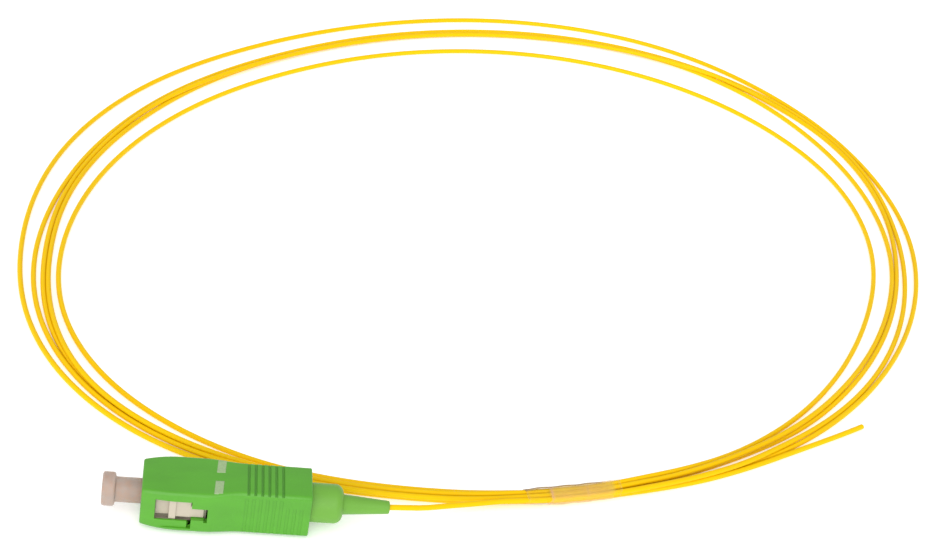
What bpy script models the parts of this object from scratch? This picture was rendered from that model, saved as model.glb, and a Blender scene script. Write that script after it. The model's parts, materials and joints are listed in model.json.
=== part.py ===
"""Fibre optic pigtail: a push-pull plug with an angled ceramic ferrule, a short boot and a dust cap on
the end of a yellow tight-buffered fibre, which lies coiled in five loose turns held by a tape wrap.

Units are metres, +Z is up and the floor is z = 0. The plug's axis runs along X with the dust cap towards
-X. x = 0 is half way from the cap's tip to the boot's end, and y = 0 is the plug's middle plane.
Distances called "back" are measured along the plug from the front face of its outer housing.
"""
import math

import bmesh
import bpy
from mathutils import Vector

# Outer housing
HOUSING_LENGTH = 0.0254
HOUSING_WIDTH = 0.0090
HOUSING_HEIGHT = 0.0074
GRIP_WIDTH = 0.0071
HOUSING_CORNER = 0.0007
EDGE_ROUNDING = 0.0002
LEAD_IN_LENGTH = 0.0055
LEAD_IN_WIDTH_DROP = 0.0006
LEAD_IN_HEIGHT_DROP = 0.0003
WAIST_START = 0.0089
WAIST_LENGTH = 0.0058
HOUSING_WALL = 0.0010
HOUSING_FLOOR_WALL = 0.0007
CAVITY_DEPTH = 0.0119
CAVITY_CORNER = 0.0005
HOUSING_TRAVEL = 0.0020

# Key on the housing's underside
KEY_WIDTH = 0.0021
KEY_HEIGHT = 0.0006
KEY_START = 0.0012
KEY_LENGTH = 0.0070

# Side windows, heights measured from the plug's axis
WINDOW_START = 0.0020
WINDOW_LENGTH = 0.0053
WINDOW_LOW = -0.00135
WINDOW_HIGH = 0.0023
SLOT_LENGTH = 0.0026
SLOT_LOW = -0.0011
SLOT_HIGH = 0.0017
POCKET_LOW = -0.00295
POCKET_DEPTH = 0.0005

# Grip grooves
GROOVE_PITCH = 0.00104
GROOVE_WIDTH = 0.00042
GROOVE_DEPTH = 0.00025
SIDE_GROOVE_DEPTH = 0.00012
TOP_GROOVES = 6
TOP_GROOVES_START = 0.0156
SIDE_GROOVES = 9
SIDE_GROOVES_START = 0.0154
SIDE_GROOVES_TALL = 6
SIDE_GROOVE_FOOT = 0.0005
SIDE_GROOVE_TALL_DROP = 0.0009
SIDE_GROOVE_SHORT_DROP = 0.0024

# Clearances, and how far a cutter reaches past a surface or a joined block into its neighbour
SEAT_GAP = 0.0003
SLIDE_GAP = 0.0003
BORE_GAP = 0.00015
CUTTER_REACH = 0.001
JOIN_DEPTH = 0.0002

# Plug frame inside the housing
FRAME_START = 0.0003
FRAME_BLOCK_LENGTH = 0.0095
FRAME_LENGTH = 0.0181
FRAME_CORNER = 0.0005
BARREL_RADIUS = 0.00265
FRAME_BORE_RADIUS = 0.0022
FRAME_BORE_DEPTH = 0.0071
PARTITION_THICKNESS = 0.0012
RIB_START = 0.0042
RIB_WIDTH = 0.0007
RIB_REACH = 0.0009
TONGUE_LENGTH = 0.0018
TONGUE_REACH = 0.0006
CATCH_MARGIN = 0.00025

# Ferrule, flange and spring
FERRULE_RADIUS = 0.00125
FERRULE_STANDS_OUT = 0.0019
FERRULE_LENGTH = 0.0118
FERRULE_CHAMFER = 0.0003
FERRULE_TILT = math.radians(8)
FERRULE_TRAVEL = 0.0010
FLANGE_RADIUS = 0.0019
FLANGE_THICKNESS = 0.0018
FLANGE_TAIL_RADIUS = 0.00135
FLANGE_TAIL_LENGTH = 0.0018
FLANGE_BORE_RADIUS = 0.0006
SPRING_WIRE_RADIUS = 0.00016
SPRING_TURNS = 6

# Stop ring behind the spring
STOP_INSERT_DEPTH = 0.0022
STOP_FLANGE_RADIUS = 0.0027
STOP_FLANGE_THICKNESS = 0.0007
STOP_TAIL_RADIUS = 0.00155
STOP_TAIL_LENGTH = 0.0050
STOP_BORE_RADIUS = 0.00075

# Boot
COLLAR_RADIUS = 0.0029
COLLAR_SHOWN = 0.0044
COLLAR_ROUNDING = 0.0011
TAIL_LENGTH = 0.0072
TAIL_ROOT_RADIUS = 0.00155
TAIL_END_RADIUS = 0.00102
TAIL_END_ROUNDING = 0.0002
BOOT_BORE_RADIUS = 0.00065

# Dust cap
CAP_STANDS_OUT = 0.0059
CAP_FLANGE_RADIUS = 0.0027
CAP_FLANGE_LENGTH = 0.0020
CAP_FLANGE_ROUNDING = 0.0004
CAP_BODY_RADIUS = 0.00192
CAP_INSERT_DEPTH = 0.0048

# Fibre
FIBRE_RADIUS = 0.00045
FIBRE_POINT_SPACING = 0.0020
STEPS_BETWEEN_POINTS = 24

# Coil: an oval around its own centre, with its long way turned from +X, beside the plug
COIL_MIDDLE_X = 0.0465
COIL_CLEARANCE = 0.0009
COIL_LONG_RADIUS = 0.0905
COIL_SHORT_RADIUS = 0.0730
COIL_TURNED = math.radians(43)
COIL_SECTIONS = 96
SECTION_POINTS = 12

# The coil's section around the oval: angle in degrees, then its middle's distance outside the oval,
# half its width, its underside's height and its own height, in millimetres
MILLIMETRE = 0.001
COIL_STATIONS = (
    (0, -1.5, 4.9, 0.0, 1.9),
    (23, -3.2, 5.3, 0.0, 1.9),
    (43, -4.5, 6.7, 0.0, 1.9),
    (60, -2.9, 8.2, 0.0, 1.9),
    (78, -2.0, 8.4, 0.0, 1.9),
    (100, -1.5, 7.3, 0.0, 1.9),
    (125, -1.1, 6.6, 0.0, 1.9),
    (150, 0.2, 6.5, 0.0, 1.9),
    (170, 0.1, 5.7, 0.0, 1.9),
    (192, -0.2, 4.3, 0.0, 1.9),
    (211, 1.3, 3.7, 0.0, 1.9),
    (225, 0.2, 3.3, 0.0, 1.9),
    (238, -1.4, 2.1, 0.0, 1.9),
    (250, -2.4, 1.6, 0.05, 1.8),
    (261, -2.2, 1.5, 0.25, 1.6),
    (268, -1.7, 1.45, 0.45, 1.45),
    (276, -1.0, 1.6, 0.45, 1.45),
    (284, -0.1, 1.7, 0.45, 1.45),
    (291, 0.4, 2.0, 0.15, 1.75),
    (299, 0.8, 2.5, 0.0, 1.9),
    (311, 0.6, 2.9, 0.0, 1.9),
    (326, 0.0, 3.5, 0.0, 1.9),
    (345, -1.3, 4.7, 0.0, 1.9),
)

# Tape wrap around the coil, ends in degrees round the oval
TAPE_FROM = 268.6
TAPE_TO = 283.4
TAPE_SECTIONS = 12
TAPE_GAP = 0.0002
TAPE_THICKNESS = 0.00025

# The fibre from the boot to the tape, past its first point at the boot's end
LEAD_ROUTE = (
    (0.0242, 0.0003, 0.0042),
    (0.0275, 0.0015, 0.0034),
    (0.0315, 0.0033, 0.0025),
    (0.0365, 0.0049, 0.0019),
    (0.0408, 0.0059, 0.0017),
    (0.0444, 0.0066, 0.0016),
)

# The free end, from the coil's outside to the cut
TAIL_ROUTE = (
    (0.0974, 0.0284, 0.00045),
    (0.0997, 0.0300, 0.00045),
    (0.1034, 0.0323, 0.00045),
    (0.1074, 0.0347, 0.00045),
)

# Places worked out from the sizes above
AXIS_HEIGHT = KEY_HEIGHT + HOUSING_HEIGHT / 2
PLUG_LENGTH = CAP_STANDS_OUT + HOUSING_LENGTH + COLLAR_SHOWN + TAIL_LENGTH
FRONT_X = -PLUG_LENGTH / 2 + CAP_STANDS_OUT
CAVITY_HALF_WIDTH = HOUSING_WIDTH / 2 - HOUSING_WALL
CAVITY_HALF_HEIGHT = HOUSING_HEIGHT / 2 - HOUSING_FLOOR_WALL
HOUSING_BORE_RADIUS = max(BARREL_RADIUS, COLLAR_RADIUS) + SLIDE_GAP
FRAME_HALF_WIDTH = CAVITY_HALF_WIDTH - SLIDE_GAP
FRAME_HALF_HEIGHT = CAVITY_HALF_HEIGHT - SLIDE_GAP
FRAME_END = FRAME_START + FRAME_LENGTH
PARTITION_FRONT = FRAME_START + FRAME_BORE_DEPTH
PARTITION_BACK = PARTITION_FRONT + PARTITION_THICKNESS
SLOT_START = WINDOW_START + WINDOW_LENGTH
FERRULE_BACK = FERRULE_LENGTH - FERRULE_STANDS_OUT
FLANGE_FRONT = PARTITION_BACK + SEAT_GAP
FLANGE_BACK = FLANGE_FRONT + FLANGE_THICKNESS
FLANGE_TAIL_BACK = FLANGE_BACK + FLANGE_TAIL_LENGTH
STOP_FLANGE_FRONT = FRAME_END + SEAT_GAP
STOP_FRONT = STOP_FLANGE_FRONT - SEAT_GAP - STOP_INSERT_DEPTH
STOP_FLANGE_BACK = STOP_FLANGE_FRONT + STOP_FLANGE_THICKNESS
STOP_BACK = STOP_FLANGE_BACK + STOP_TAIL_LENGTH
SPRING_RADIUS = (FLANGE_TAIL_RADIUS + FRAME_BORE_RADIUS) / 2
COLLAR_FRONT = STOP_FLANGE_BACK + SEAT_GAP
COLLAR_BACK = HOUSING_LENGTH + COLLAR_SHOWN
BOOT_BACK = COLLAR_BACK + TAIL_LENGTH
COIL_HALF_DEPTH = math.hypot(
    COIL_LONG_RADIUS * math.sin(COIL_TURNED), COIL_SHORT_RADIUS * math.cos(COIL_TURNED)
)
COIL_MIDDLE_Y = HOUSING_WIDTH / 2 + COIL_CLEARANCE + COIL_HALF_DEPTH

parts = bpy.data.collections.new("fibre_pigtail")
cutters = bpy.data.collections.new("cutters")


def clear_scene():
    for thing in list(bpy.data.objects):
        bpy.data.objects.remove(thing, do_unlink=True)
    for group in (parts, cutters):
        bpy.context.scene.collection.children.link(group)


def solid_material(name, colour, roughness, metallic=0.0):
    material = bpy.data.materials.new(name)
    material.use_nodes = True
    shader = material.node_tree.nodes["Principled BSDF"]
    shader.inputs["Base Color"].default_value = (*colour, 1.0)
    shader.inputs["Roughness"].default_value = roughness
    shader.inputs["Metallic"].default_value = metallic
    material.diffuse_color = (*colour, 1.0)
    return material


def put_on_plug(thing):
    """Places an object at the middle of the housing's front face, on the plug's axis."""
    thing.location = (FRONT_X, 0, AXIS_HEIGHT)
    return thing


def add_object(name, data, material):
    thing = bpy.data.objects.new(name, data)
    parts.objects.link(thing)
    if material:
        data.materials.append(material)
    return thing


def as_cutter(thing):
    parts.objects.unlink(thing)
    cutters.objects.link(thing)
    thing.hide_render = True
    thing.display_type = "WIRE"
    return thing


def combine(thing, other, operation):
    modifier = thing.modifiers.new(other.name, "BOOLEAN")
    modifier.operation = operation
    modifier.solver = "EXACT"
    modifier.object = other
    return thing


def smooth(thing, angle=35):
    thing.data.shade_smooth()
    thing.data.set_sharp_from_angle(angle=math.radians(angle))
    return thing


def box(name, low, high, material=None):
    """A box between two corners, in the plug's own frame."""
    size = [b - a for a, b in zip(low, high)]
    middle = [(a + b) / 2 for a, b in zip(low, high)]
    mesh = bpy.data.meshes.new(name)
    shape = bmesh.new()
    bmesh.ops.create_cube(shape, size=1.0)
    bmesh.ops.scale(shape, vec=size, verts=shape.verts)
    bmesh.ops.translate(shape, vec=middle, verts=shape.verts)
    shape.to_mesh(mesh)
    shape.free()
    return put_on_plug(add_object(name, mesh, material))


def turned(name, profile, material=None, steps=32):
    """Turns a profile of (radius, back) points about the plug's axis. Its outer side runs front to back
    and it is written so that the screw, which works top to bottom, meets it back to front."""
    mesh = bpy.data.meshes.new(name)
    points = [(radius, 0, back) for radius, back in reversed(profile)]
    on_axis = profile[0][0] == 0
    count = len(points)
    edges = [(i, i + 1) for i in range(count - 1)]
    if not on_axis:
        edges.append((count - 1, 0))
    mesh.from_pydata(points, edges, [])
    thing = put_on_plug(add_object(name, mesh, material))
    thing.rotation_euler = (0, math.radians(90), 0)
    screw = thing.modifiers.new("turn", "SCREW")
    screw.axis = "Z"
    screw.steps = steps
    screw.render_steps = steps
    screw.use_merge_vertices = True
    screw.merge_threshold = 0.00001
    screw.use_smooth_shade = True
    weld = thing.modifiers.new("weld", "WELD")
    weld.merge_threshold = 0.00001
    return thing


def arc(centre, radius, start, end, points=5):
    """Points of (radius, back) along an arc, angles in degrees from outward towards the back."""
    found = []
    for i in range(points):
        angle = math.radians(start + (end - start) * i / (points - 1))
        found.append((centre[0] + radius * math.cos(angle), centre[1] + radius * math.sin(angle)))
    return found


def rounded_rectangle(half_width, half_height, corner, points=4):
    """Points (y, z) of a rounded rectangle, counter-clockwise seen from the back."""
    outline = []
    quarters = ((1, 1, 0), (-1, 1, 90), (-1, -1, 180), (1, -1, 270))
    for side_y, side_z, turn in quarters:
        for i in range(points):
            angle = math.radians(turn + 90 * i / (points - 1))
            y = side_y * (half_width - corner) + corner * math.cos(angle)
            z = side_z * (half_height - corner) + corner * math.sin(angle)
            outline.append((y, z))
    return outline


def loft(name, loops, material=None, closed=False, caps=True):
    """Skins a row of equal point loops; closed joins the last loop to the first."""
    mesh = bpy.data.meshes.new(name)
    shape = bmesh.new()
    rings = [[shape.verts.new(point) for point in loop] for loop in loops]
    pairs = list(zip(rings, rings[1:]))
    if closed:
        pairs.append((rings[-1], rings[0]))
    for one, two in pairs:
        count = len(one)
        for i in range(count):
            j = (i + 1) % count
            shape.faces.new((one[i], two[i], two[j], one[j]))
    if caps and not closed:
        shape.faces.new(rings[0])
        shape.faces.new(list(reversed(rings[-1])))
    bmesh.ops.recalc_face_normals(shape, faces=shape.faces)
    shape.to_mesh(mesh)
    shape.free()
    return add_object(name, mesh, material)


def ease(share):
    share = min(max(share, 0.0), 1.0)
    return share * share * (3 - 2 * share)


def lead_in(back):
    return max(0.0, 1 - back / LEAD_IN_LENGTH) ** 2


def end_rounding(back):
    """How far the skin draws in near the housing's two ends."""
    near = min(back, HOUSING_LENGTH - back)
    if near >= EDGE_ROUNDING:
        return 0.0
    return EDGE_ROUNDING - math.sqrt(EDGE_ROUNDING ** 2 - (EDGE_ROUNDING - near) ** 2)


def housing_half_width(back):
    waist = ease((back - WAIST_START) / WAIST_LENGTH)
    narrowing = (HOUSING_WIDTH - GRIP_WIDTH) / 2 * waist
    return HOUSING_WIDTH / 2 - narrowing - LEAD_IN_WIDTH_DROP * lead_in(back) - end_rounding(back)


def housing_half_height(back):
    return HOUSING_HEIGHT / 2 - LEAD_IN_HEIGHT_DROP * lead_in(back) - end_rounding(back)


def housing_stations():
    rounding = [EDGE_ROUNDING * (1 - math.cos(math.radians(30 * i))) for i in range(4)]
    stations = list(rounding)
    stations += [EDGE_ROUNDING + (LEAD_IN_LENGTH - EDGE_ROUNDING) * i / 5 for i in range(1, 6)]
    stations += [WAIST_START + WAIST_LENGTH * i / 8 for i in range(9)]
    stations += [HOUSING_LENGTH - near for near in reversed(rounding)]
    return stations


def straight_block(name, start, end, half_width, half_height, corner, material=None):
    """A block of one rounded section along the plug's axis."""
    outline = rounded_rectangle(half_width, half_height, corner)
    loops = [[(back, y, z) for y, z in outline] for back in (start, end)]
    return put_on_plug(loft(name, loops, material))


def repeated_boxes(name, low, high, count, pitch):
    """A row of like boxes along the plug, as one cutter."""
    cutter = box(name, low, high)
    row = cutter.modifiers.new("row", "ARRAY")
    row.count = count
    row.use_relative_offset = False
    row.use_constant_offset = True
    row.constant_offset_displace = (pitch, 0, 0)
    return as_cutter(cutter)


def cut_grip(housing):
    half_height = HOUSING_HEIGHT / 2
    half_grip = GRIP_WIDTH / 2
    for side in (1, -1):
        floor, rim = half_height - GROOVE_DEPTH, half_height + CUTTER_REACH
        low_z, high_z = sorted((side * floor, side * rim))
        start = TOP_GROOVES_START
        low = (start, -half_grip - CUTTER_REACH, low_z)
        high = (start + GROOVE_WIDTH, half_grip + CUTTER_REACH, high_z)
        row = repeated_boxes("wide_face_grooves", low, high, TOP_GROOVES, GROOVE_PITCH)
        combine(housing, row, "DIFFERENCE")
    short_start = SIDE_GROOVES_START + SIDE_GROOVES_TALL * GROOVE_PITCH
    rows = (
        (SIDE_GROOVES_START, SIDE_GROOVES_TALL, SIDE_GROOVE_TALL_DROP),
        (short_start, SIDE_GROOVES - SIDE_GROOVES_TALL, SIDE_GROOVE_SHORT_DROP),
    )
    for side in (1, -1):
        for start, count, drop in rows:
            floor, rim = half_grip - SIDE_GROOVE_DEPTH, half_grip + CUTTER_REACH
            low_y, high_y = sorted((side * floor, side * rim))
            low = (start, low_y, -half_height + SIDE_GROOVE_FOOT)
            high = (start + GROOVE_WIDTH, high_y, half_height - drop)
            row = repeated_boxes("side_face_grooves", low, high, count, GROOVE_PITCH)
            combine(housing, row, "DIFFERENCE")


def cut_windows(housing):
    outside = HOUSING_WIDTH / 2 + CUTTER_REACH
    window_end = WINDOW_START + WINDOW_LENGTH
    window = box("window", (WINDOW_START, -outside, WINDOW_LOW), (window_end, outside, WINDOW_HIGH))
    slot_low = (SLOT_START - JOIN_DEPTH, -outside, SLOT_LOW)
    slot = box("window_slot", slot_low, (SLOT_START + SLOT_LENGTH, outside, SLOT_HIGH))
    combine(housing, as_cutter(window), "DIFFERENCE")
    combine(housing, as_cutter(slot), "DIFFERENCE")
    for side in (1, -1):
        low_y, high_y = sorted((side * (HOUSING_WIDTH / 2 - POCKET_DEPTH), side * outside))
        low = (WINDOW_START, low_y, POCKET_LOW)
        pocket = box("pocket", low, (window_end, high_y, WINDOW_LOW + JOIN_DEPTH))
        combine(housing, as_cutter(pocket), "DIFFERENCE")


def make_outer_housing(material):
    loops = []
    for back in housing_stations():
        outline = rounded_rectangle(housing_half_width(back), housing_half_height(back), HOUSING_CORNER)
        loops.append([(back, y, z) for y, z in outline])
    housing = put_on_plug(loft("outer_housing", loops, material))
    half_height = HOUSING_HEIGHT / 2
    key_low = (KEY_START, -KEY_WIDTH / 2, -half_height - KEY_HEIGHT)
    key_high = (KEY_START + KEY_LENGTH, KEY_WIDTH / 2, -half_height + HOUSING_FLOOR_WALL / 2)
    combine(housing, as_cutter(box("key", key_low, key_high)), "UNION")
    cavity = straight_block(
        "cavity", -CUTTER_REACH, CAVITY_DEPTH, CAVITY_HALF_WIDTH, CAVITY_HALF_HEIGHT, CAVITY_CORNER
    )
    combine(housing, as_cutter(cavity), "DIFFERENCE")
    bore_profile = [
        (0, CAVITY_DEPTH - CUTTER_REACH),
        (HOUSING_BORE_RADIUS, CAVITY_DEPTH - CUTTER_REACH),
        (HOUSING_BORE_RADIUS, HOUSING_LENGTH + CUTTER_REACH),
        (0, HOUSING_LENGTH + CUTTER_REACH),
    ]
    combine(housing, as_cutter(turned("rear_bore", bore_profile)), "DIFFERENCE")
    cut_windows(housing)
    cut_grip(housing)
    return housing


def make_plug_frame(material):
    block_end = FRAME_START + FRAME_BLOCK_LENGTH
    frame = straight_block(
        "plug_frame", FRAME_START, block_end, FRAME_HALF_WIDTH, FRAME_HALF_HEIGHT, FRAME_CORNER, material
    )
    barrel_profile = [
        (0, block_end - JOIN_DEPTH),
        (BARREL_RADIUS, block_end - JOIN_DEPTH),
        (BARREL_RADIUS, FRAME_END),
        (0, FRAME_END),
    ]
    combine(frame, as_cutter(turned("barrel", barrel_profile)), "UNION")
    rib_reach = FRAME_HALF_WIDTH + RIB_REACH
    rib_low = (RIB_START, -rib_reach, WINDOW_LOW + CATCH_MARGIN)
    rib = box("window_rib", rib_low, (RIB_START + RIB_WIDTH, rib_reach, WINDOW_HIGH - CATCH_MARGIN))
    tongue_reach = FRAME_HALF_WIDTH + TONGUE_REACH
    tongue_low = (SLOT_START + CATCH_MARGIN, -tongue_reach, SLOT_LOW + CATCH_MARGIN)
    tongue_end = SLOT_START + CATCH_MARGIN + TONGUE_LENGTH
    tongue = box("window_tongue", tongue_low, (tongue_end, tongue_reach, SLOT_HIGH - CATCH_MARGIN))
    combine(frame, as_cutter(rib), "UNION")
    combine(frame, as_cutter(tongue), "UNION")
    partition_radius = FERRULE_RADIUS + BORE_GAP
    bore_profile = [
        (0, FRAME_START - CUTTER_REACH),
        (FRAME_BORE_RADIUS, FRAME_START - CUTTER_REACH),
        (FRAME_BORE_RADIUS, PARTITION_FRONT),
        (partition_radius, PARTITION_FRONT),
        (partition_radius, PARTITION_BACK),
        (FRAME_BORE_RADIUS, PARTITION_BACK),
        (FRAME_BORE_RADIUS, FRAME_END + CUTTER_REACH),
        (0, FRAME_END + CUTTER_REACH),
    ]
    combine(frame, as_cutter(turned("frame_bore", bore_profile)), "DIFFERENCE")
    return frame


def make_ferrule(material):
    tip = -FERRULE_STANDS_OUT
    face_radius = FERRULE_RADIUS - FERRULE_CHAMFER
    profile = [
        (0, tip),
        (face_radius, tip),
        (FERRULE_RADIUS, tip + FERRULE_CHAMFER),
        (FERRULE_RADIUS, FERRULE_BACK),
        (0, FERRULE_BACK),
    ]
    ferrule = turned("ferrule", profile, material)
    reach = FERRULE_RADIUS * 2
    slope = box("angled_face", (-reach, -reach, -reach), (0, reach, reach))
    slope.location.x = FRONT_X + tip + face_radius * math.tan(FERRULE_TILT)
    slope.rotation_euler = (0, -FERRULE_TILT, 0)
    return combine(ferrule, as_cutter(slope), "DIFFERENCE")


def make_ferrule_flange(material):
    socket_radius = FERRULE_RADIUS + BORE_GAP
    socket_back = FERRULE_BACK + SEAT_GAP
    profile = [
        (FLANGE_RADIUS, FLANGE_FRONT),
        (FLANGE_RADIUS, FLANGE_BACK),
        (FLANGE_TAIL_RADIUS, FLANGE_BACK),
        (FLANGE_TAIL_RADIUS, FLANGE_TAIL_BACK),
        (FLANGE_BORE_RADIUS, FLANGE_TAIL_BACK),
        (FLANGE_BORE_RADIUS, socket_back),
        (socket_radius, socket_back),
        (socket_radius, FLANGE_FRONT),
    ]
    return turned("ferrule_flange", profile, material)


def wire(name, points, radius, material):
    curve = bpy.data.curves.new(name, "CURVE")
    curve.dimensions = "3D"
    curve.bevel_depth = radius
    curve.bevel_resolution = 2
    curve.use_fill_caps = True
    spline = curve.splines.new("POLY")
    spline.points.add(len(points) - 1)
    for place, point in zip(spline.points, points):
        place.co = (*point, 1)
    return add_object(name, curve, material)


def make_spring(material):
    start = FLANGE_BACK + SEAT_GAP / 2 + SPRING_WIRE_RADIUS
    end = STOP_FRONT - SEAT_GAP / 2 - SPRING_WIRE_RADIUS
    steps_a_turn = 12
    steps = SPRING_TURNS * steps_a_turn
    points = []
    for i in range(steps + 1):
        angle = math.tau * i / steps_a_turn
        back = start + (end - start) * i / steps
        points.append((back, SPRING_RADIUS * math.cos(angle), SPRING_RADIUS * math.sin(angle)))
    return put_on_plug(wire("spring", points, SPRING_WIRE_RADIUS, material))


def make_stop_ring(material):
    insert_radius = FRAME_BORE_RADIUS - BORE_GAP
    profile = [
        (insert_radius, STOP_FRONT),
        (insert_radius, STOP_FLANGE_FRONT),
        (STOP_FLANGE_RADIUS, STOP_FLANGE_FRONT),
        (STOP_FLANGE_RADIUS, STOP_FLANGE_BACK),
        (STOP_TAIL_RADIUS, STOP_FLANGE_BACK),
        (STOP_TAIL_RADIUS, STOP_BACK),
        (STOP_BORE_RADIUS, STOP_BACK),
        (STOP_BORE_RADIUS, STOP_FRONT),
    ]
    return turned("stop_ring", profile, material)


def make_boot(material):
    socket_radius = STOP_TAIL_RADIUS + BORE_GAP
    socket_back = STOP_BACK + SEAT_GAP
    rounding_centre = (COLLAR_RADIUS - COLLAR_ROUNDING, COLLAR_BACK - COLLAR_ROUNDING)
    end_centre = (TAIL_END_RADIUS - TAIL_END_ROUNDING, BOOT_BACK - TAIL_END_ROUNDING)
    profile = [(COLLAR_RADIUS, COLLAR_FRONT)]
    profile += arc(rounding_centre, COLLAR_ROUNDING, 0, 90, 7)
    profile += [(TAIL_ROOT_RADIUS, COLLAR_BACK)]
    profile += arc(end_centre, TAIL_END_ROUNDING, 0, 90, 4)
    profile += [
        (BOOT_BORE_RADIUS, BOOT_BACK),
        (BOOT_BORE_RADIUS, socket_back),
        (socket_radius, socket_back),
        (socket_radius, COLLAR_FRONT),
    ]
    return turned("boot", profile, material)


def make_dust_cap(material):
    tip = -CAP_STANDS_OUT
    flange_back = tip + CAP_FLANGE_LENGTH
    bore_radius = FERRULE_RADIUS + BORE_GAP
    bore_bottom = -FERRULE_STANDS_OUT - SEAT_GAP
    rounding = CAP_FLANGE_ROUNDING
    profile = [(0, tip)]
    profile += arc((CAP_FLANGE_RADIUS - rounding, tip + rounding), rounding, -90, 0, 4)
    profile += arc((CAP_FLANGE_RADIUS - rounding, flange_back - rounding), rounding, 0, 90, 4)
    profile += [
        (CAP_BODY_RADIUS, flange_back),
        (CAP_BODY_RADIUS, CAP_INSERT_DEPTH),
        (bore_radius, CAP_INSERT_DEPTH),
        (bore_radius, bore_bottom),
        (0, bore_bottom),
    ]
    return turned("dust_cap", profile, material)


def make_fibre_inside(material):
    """The buffered fibre from behind the ferrule's travel to just inside the boot's end."""
    start = FLANGE_TAIL_BACK + FERRULE_TRAVEL + SEAT_GAP
    points = [(start, 0, 0), (BOOT_BACK - SEAT_GAP, 0, 0)]
    return put_on_plug(wire("fibre_inside", points, FIBRE_RADIUS, material))


def smooth_route(points, spacing):
    """Points at even steps along a smooth curve through the given points."""
    places = [Vector(point) for point in points]
    ends = [2 * places[0] - places[1]] + places + [2 * places[-1] - places[-2]]
    fine = []
    for i in range(1, len(ends) - 2):
        before, start, end, after = ends[i - 1:i + 3]
        for step in range(STEPS_BETWEEN_POINTS):
            t = step / STEPS_BETWEEN_POINTS
            pull = (end - before) * 0.5
            push = (after - start) * 0.5
            fine.append(
                start * (2 * t ** 3 - 3 * t ** 2 + 1) + pull * (t ** 3 - 2 * t ** 2 + t)
                + end * (3 * t ** 2 - 2 * t ** 3) + push * (t ** 3 - t ** 2)
            )
    fine.append(places[-1])
    run = [0.0]
    for one, two in zip(fine, fine[1:]):
        run.append(run[-1] + (two - one).length)
    count = max(2, round(run[-1] / spacing))
    route = []
    k = 0
    for i in range(count + 1):
        want = run[-1] * i / count
        while k < len(run) - 2 and run[k + 1] < want:
            k += 1
        share = (want - run[k]) / (run[k + 1] - run[k])
        route.append(fine[k].lerp(fine[k + 1], share))
    return route


def oval_radius(angle):
    turn = angle - COIL_TURNED
    across = math.hypot(COIL_SHORT_RADIUS * math.cos(turn), COIL_LONG_RADIUS * math.sin(turn))
    return COIL_LONG_RADIUS * COIL_SHORT_RADIUS / across


def coil_section(degrees):
    """The coil's section there: middle's offset, half width, underside and height, in metres."""
    degrees %= 360
    count = len(COIL_STATIONS)
    after = 0
    while after < count and COIL_STATIONS[after][0] <= degrees:
        after += 1
    rows = []
    for step in (-2, -1, 0, 1):
        lap, index = divmod(after + step, count)
        row = COIL_STATIONS[index]
        rows.append((row[0] + 360 * lap, *row[1:]))
    before, start, end, beyond = rows
    span = end[0] - start[0]
    t = (degrees - start[0]) / span
    found = []
    for k in range(1, 5):
        slope_start = (end[k] - before[k]) / (end[0] - before[0]) * span
        slope_end = (beyond[k] - start[k]) / (beyond[0] - start[0]) * span
        value = start[k] * (2 * t ** 3 - 3 * t ** 2 + 1) + slope_start * (t ** 3 - 2 * t ** 2 + t)
        value += end[k] * (3 * t ** 2 - 2 * t ** 3) + slope_end * (t ** 3 - t ** 2)
        found.append(value * MILLIMETRE)
    return found


def coil_loop(degrees, grow=0.0):
    """The flat-sided oval section of the coil at one angle, grown all round by a gap."""
    offset, half_width, underside, height = coil_section(degrees)
    middle = max(underside, 0.0) + height / 2
    half_height = height / 2 + grow
    flat = max(half_width + grow - half_height, 0.0)
    angle = math.radians(degrees)
    loop = []
    for i in range(SECTION_POINTS):
        turn = math.tau * (i + 0.5) / SECTION_POINTS
        reach = math.cos(turn) * half_height + math.copysign(flat, math.cos(turn))
        radius = oval_radius(angle) + offset + reach
        x = COIL_MIDDLE_X + radius * math.cos(angle)
        y = COIL_MIDDLE_Y + radius * math.sin(angle)
        tallest = math.sin(math.tau * (SECTION_POINTS // 4 + 0.5) / SECTION_POINTS)
        loop.append((x, y, middle + half_height * math.sin(turn) / abs(tallest)))
    return loop


def make_fibre_coil(material):
    loops = [coil_loop(360 * i / COIL_SECTIONS) for i in range(COIL_SECTIONS)]
    return smooth(loft("fibre_coil", loops, material, closed=True), 60)


def make_tape_wrap(material):
    loops = []
    for i in range(TAPE_SECTIONS + 1):
        loops.append(coil_loop(TAPE_FROM + (TAPE_TO - TAPE_FROM) * i / TAPE_SECTIONS, TAPE_GAP))
    tape = smooth(loft("tape_wrap", loops, material, caps=False), 60)
    skin = tape.modifiers.new("thickness", "SOLIDIFY")
    skin.thickness = TAPE_THICKNESS
    skin.offset = 1.0
    return tape


def build_plug():
    green = solid_material("green_plastic", (0.10, 0.42, 0.05), 0.35)
    boot_green = solid_material("green_rubber", (0.19, 0.50, 0.07), 0.5)
    beige = solid_material("beige_plastic", (0.72, 0.62, 0.52), 0.45)
    cap_plastic = solid_material("cap_plastic", (0.66, 0.50, 0.42), 0.4)
    zirconia = solid_material("zirconia", (0.90, 0.89, 0.86), 0.2)
    metal = solid_material("nickel_plate", (0.62, 0.61, 0.58), 0.3, 1.0)
    return [
        make_outer_housing(green),
        make_plug_frame(beige),
        make_ferrule(zirconia),
        make_ferrule_flange(metal),
        make_spring(metal),
        make_stop_ring(metal),
        make_boot(boot_green),
        make_dust_cap(cap_plastic),
    ]


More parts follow.
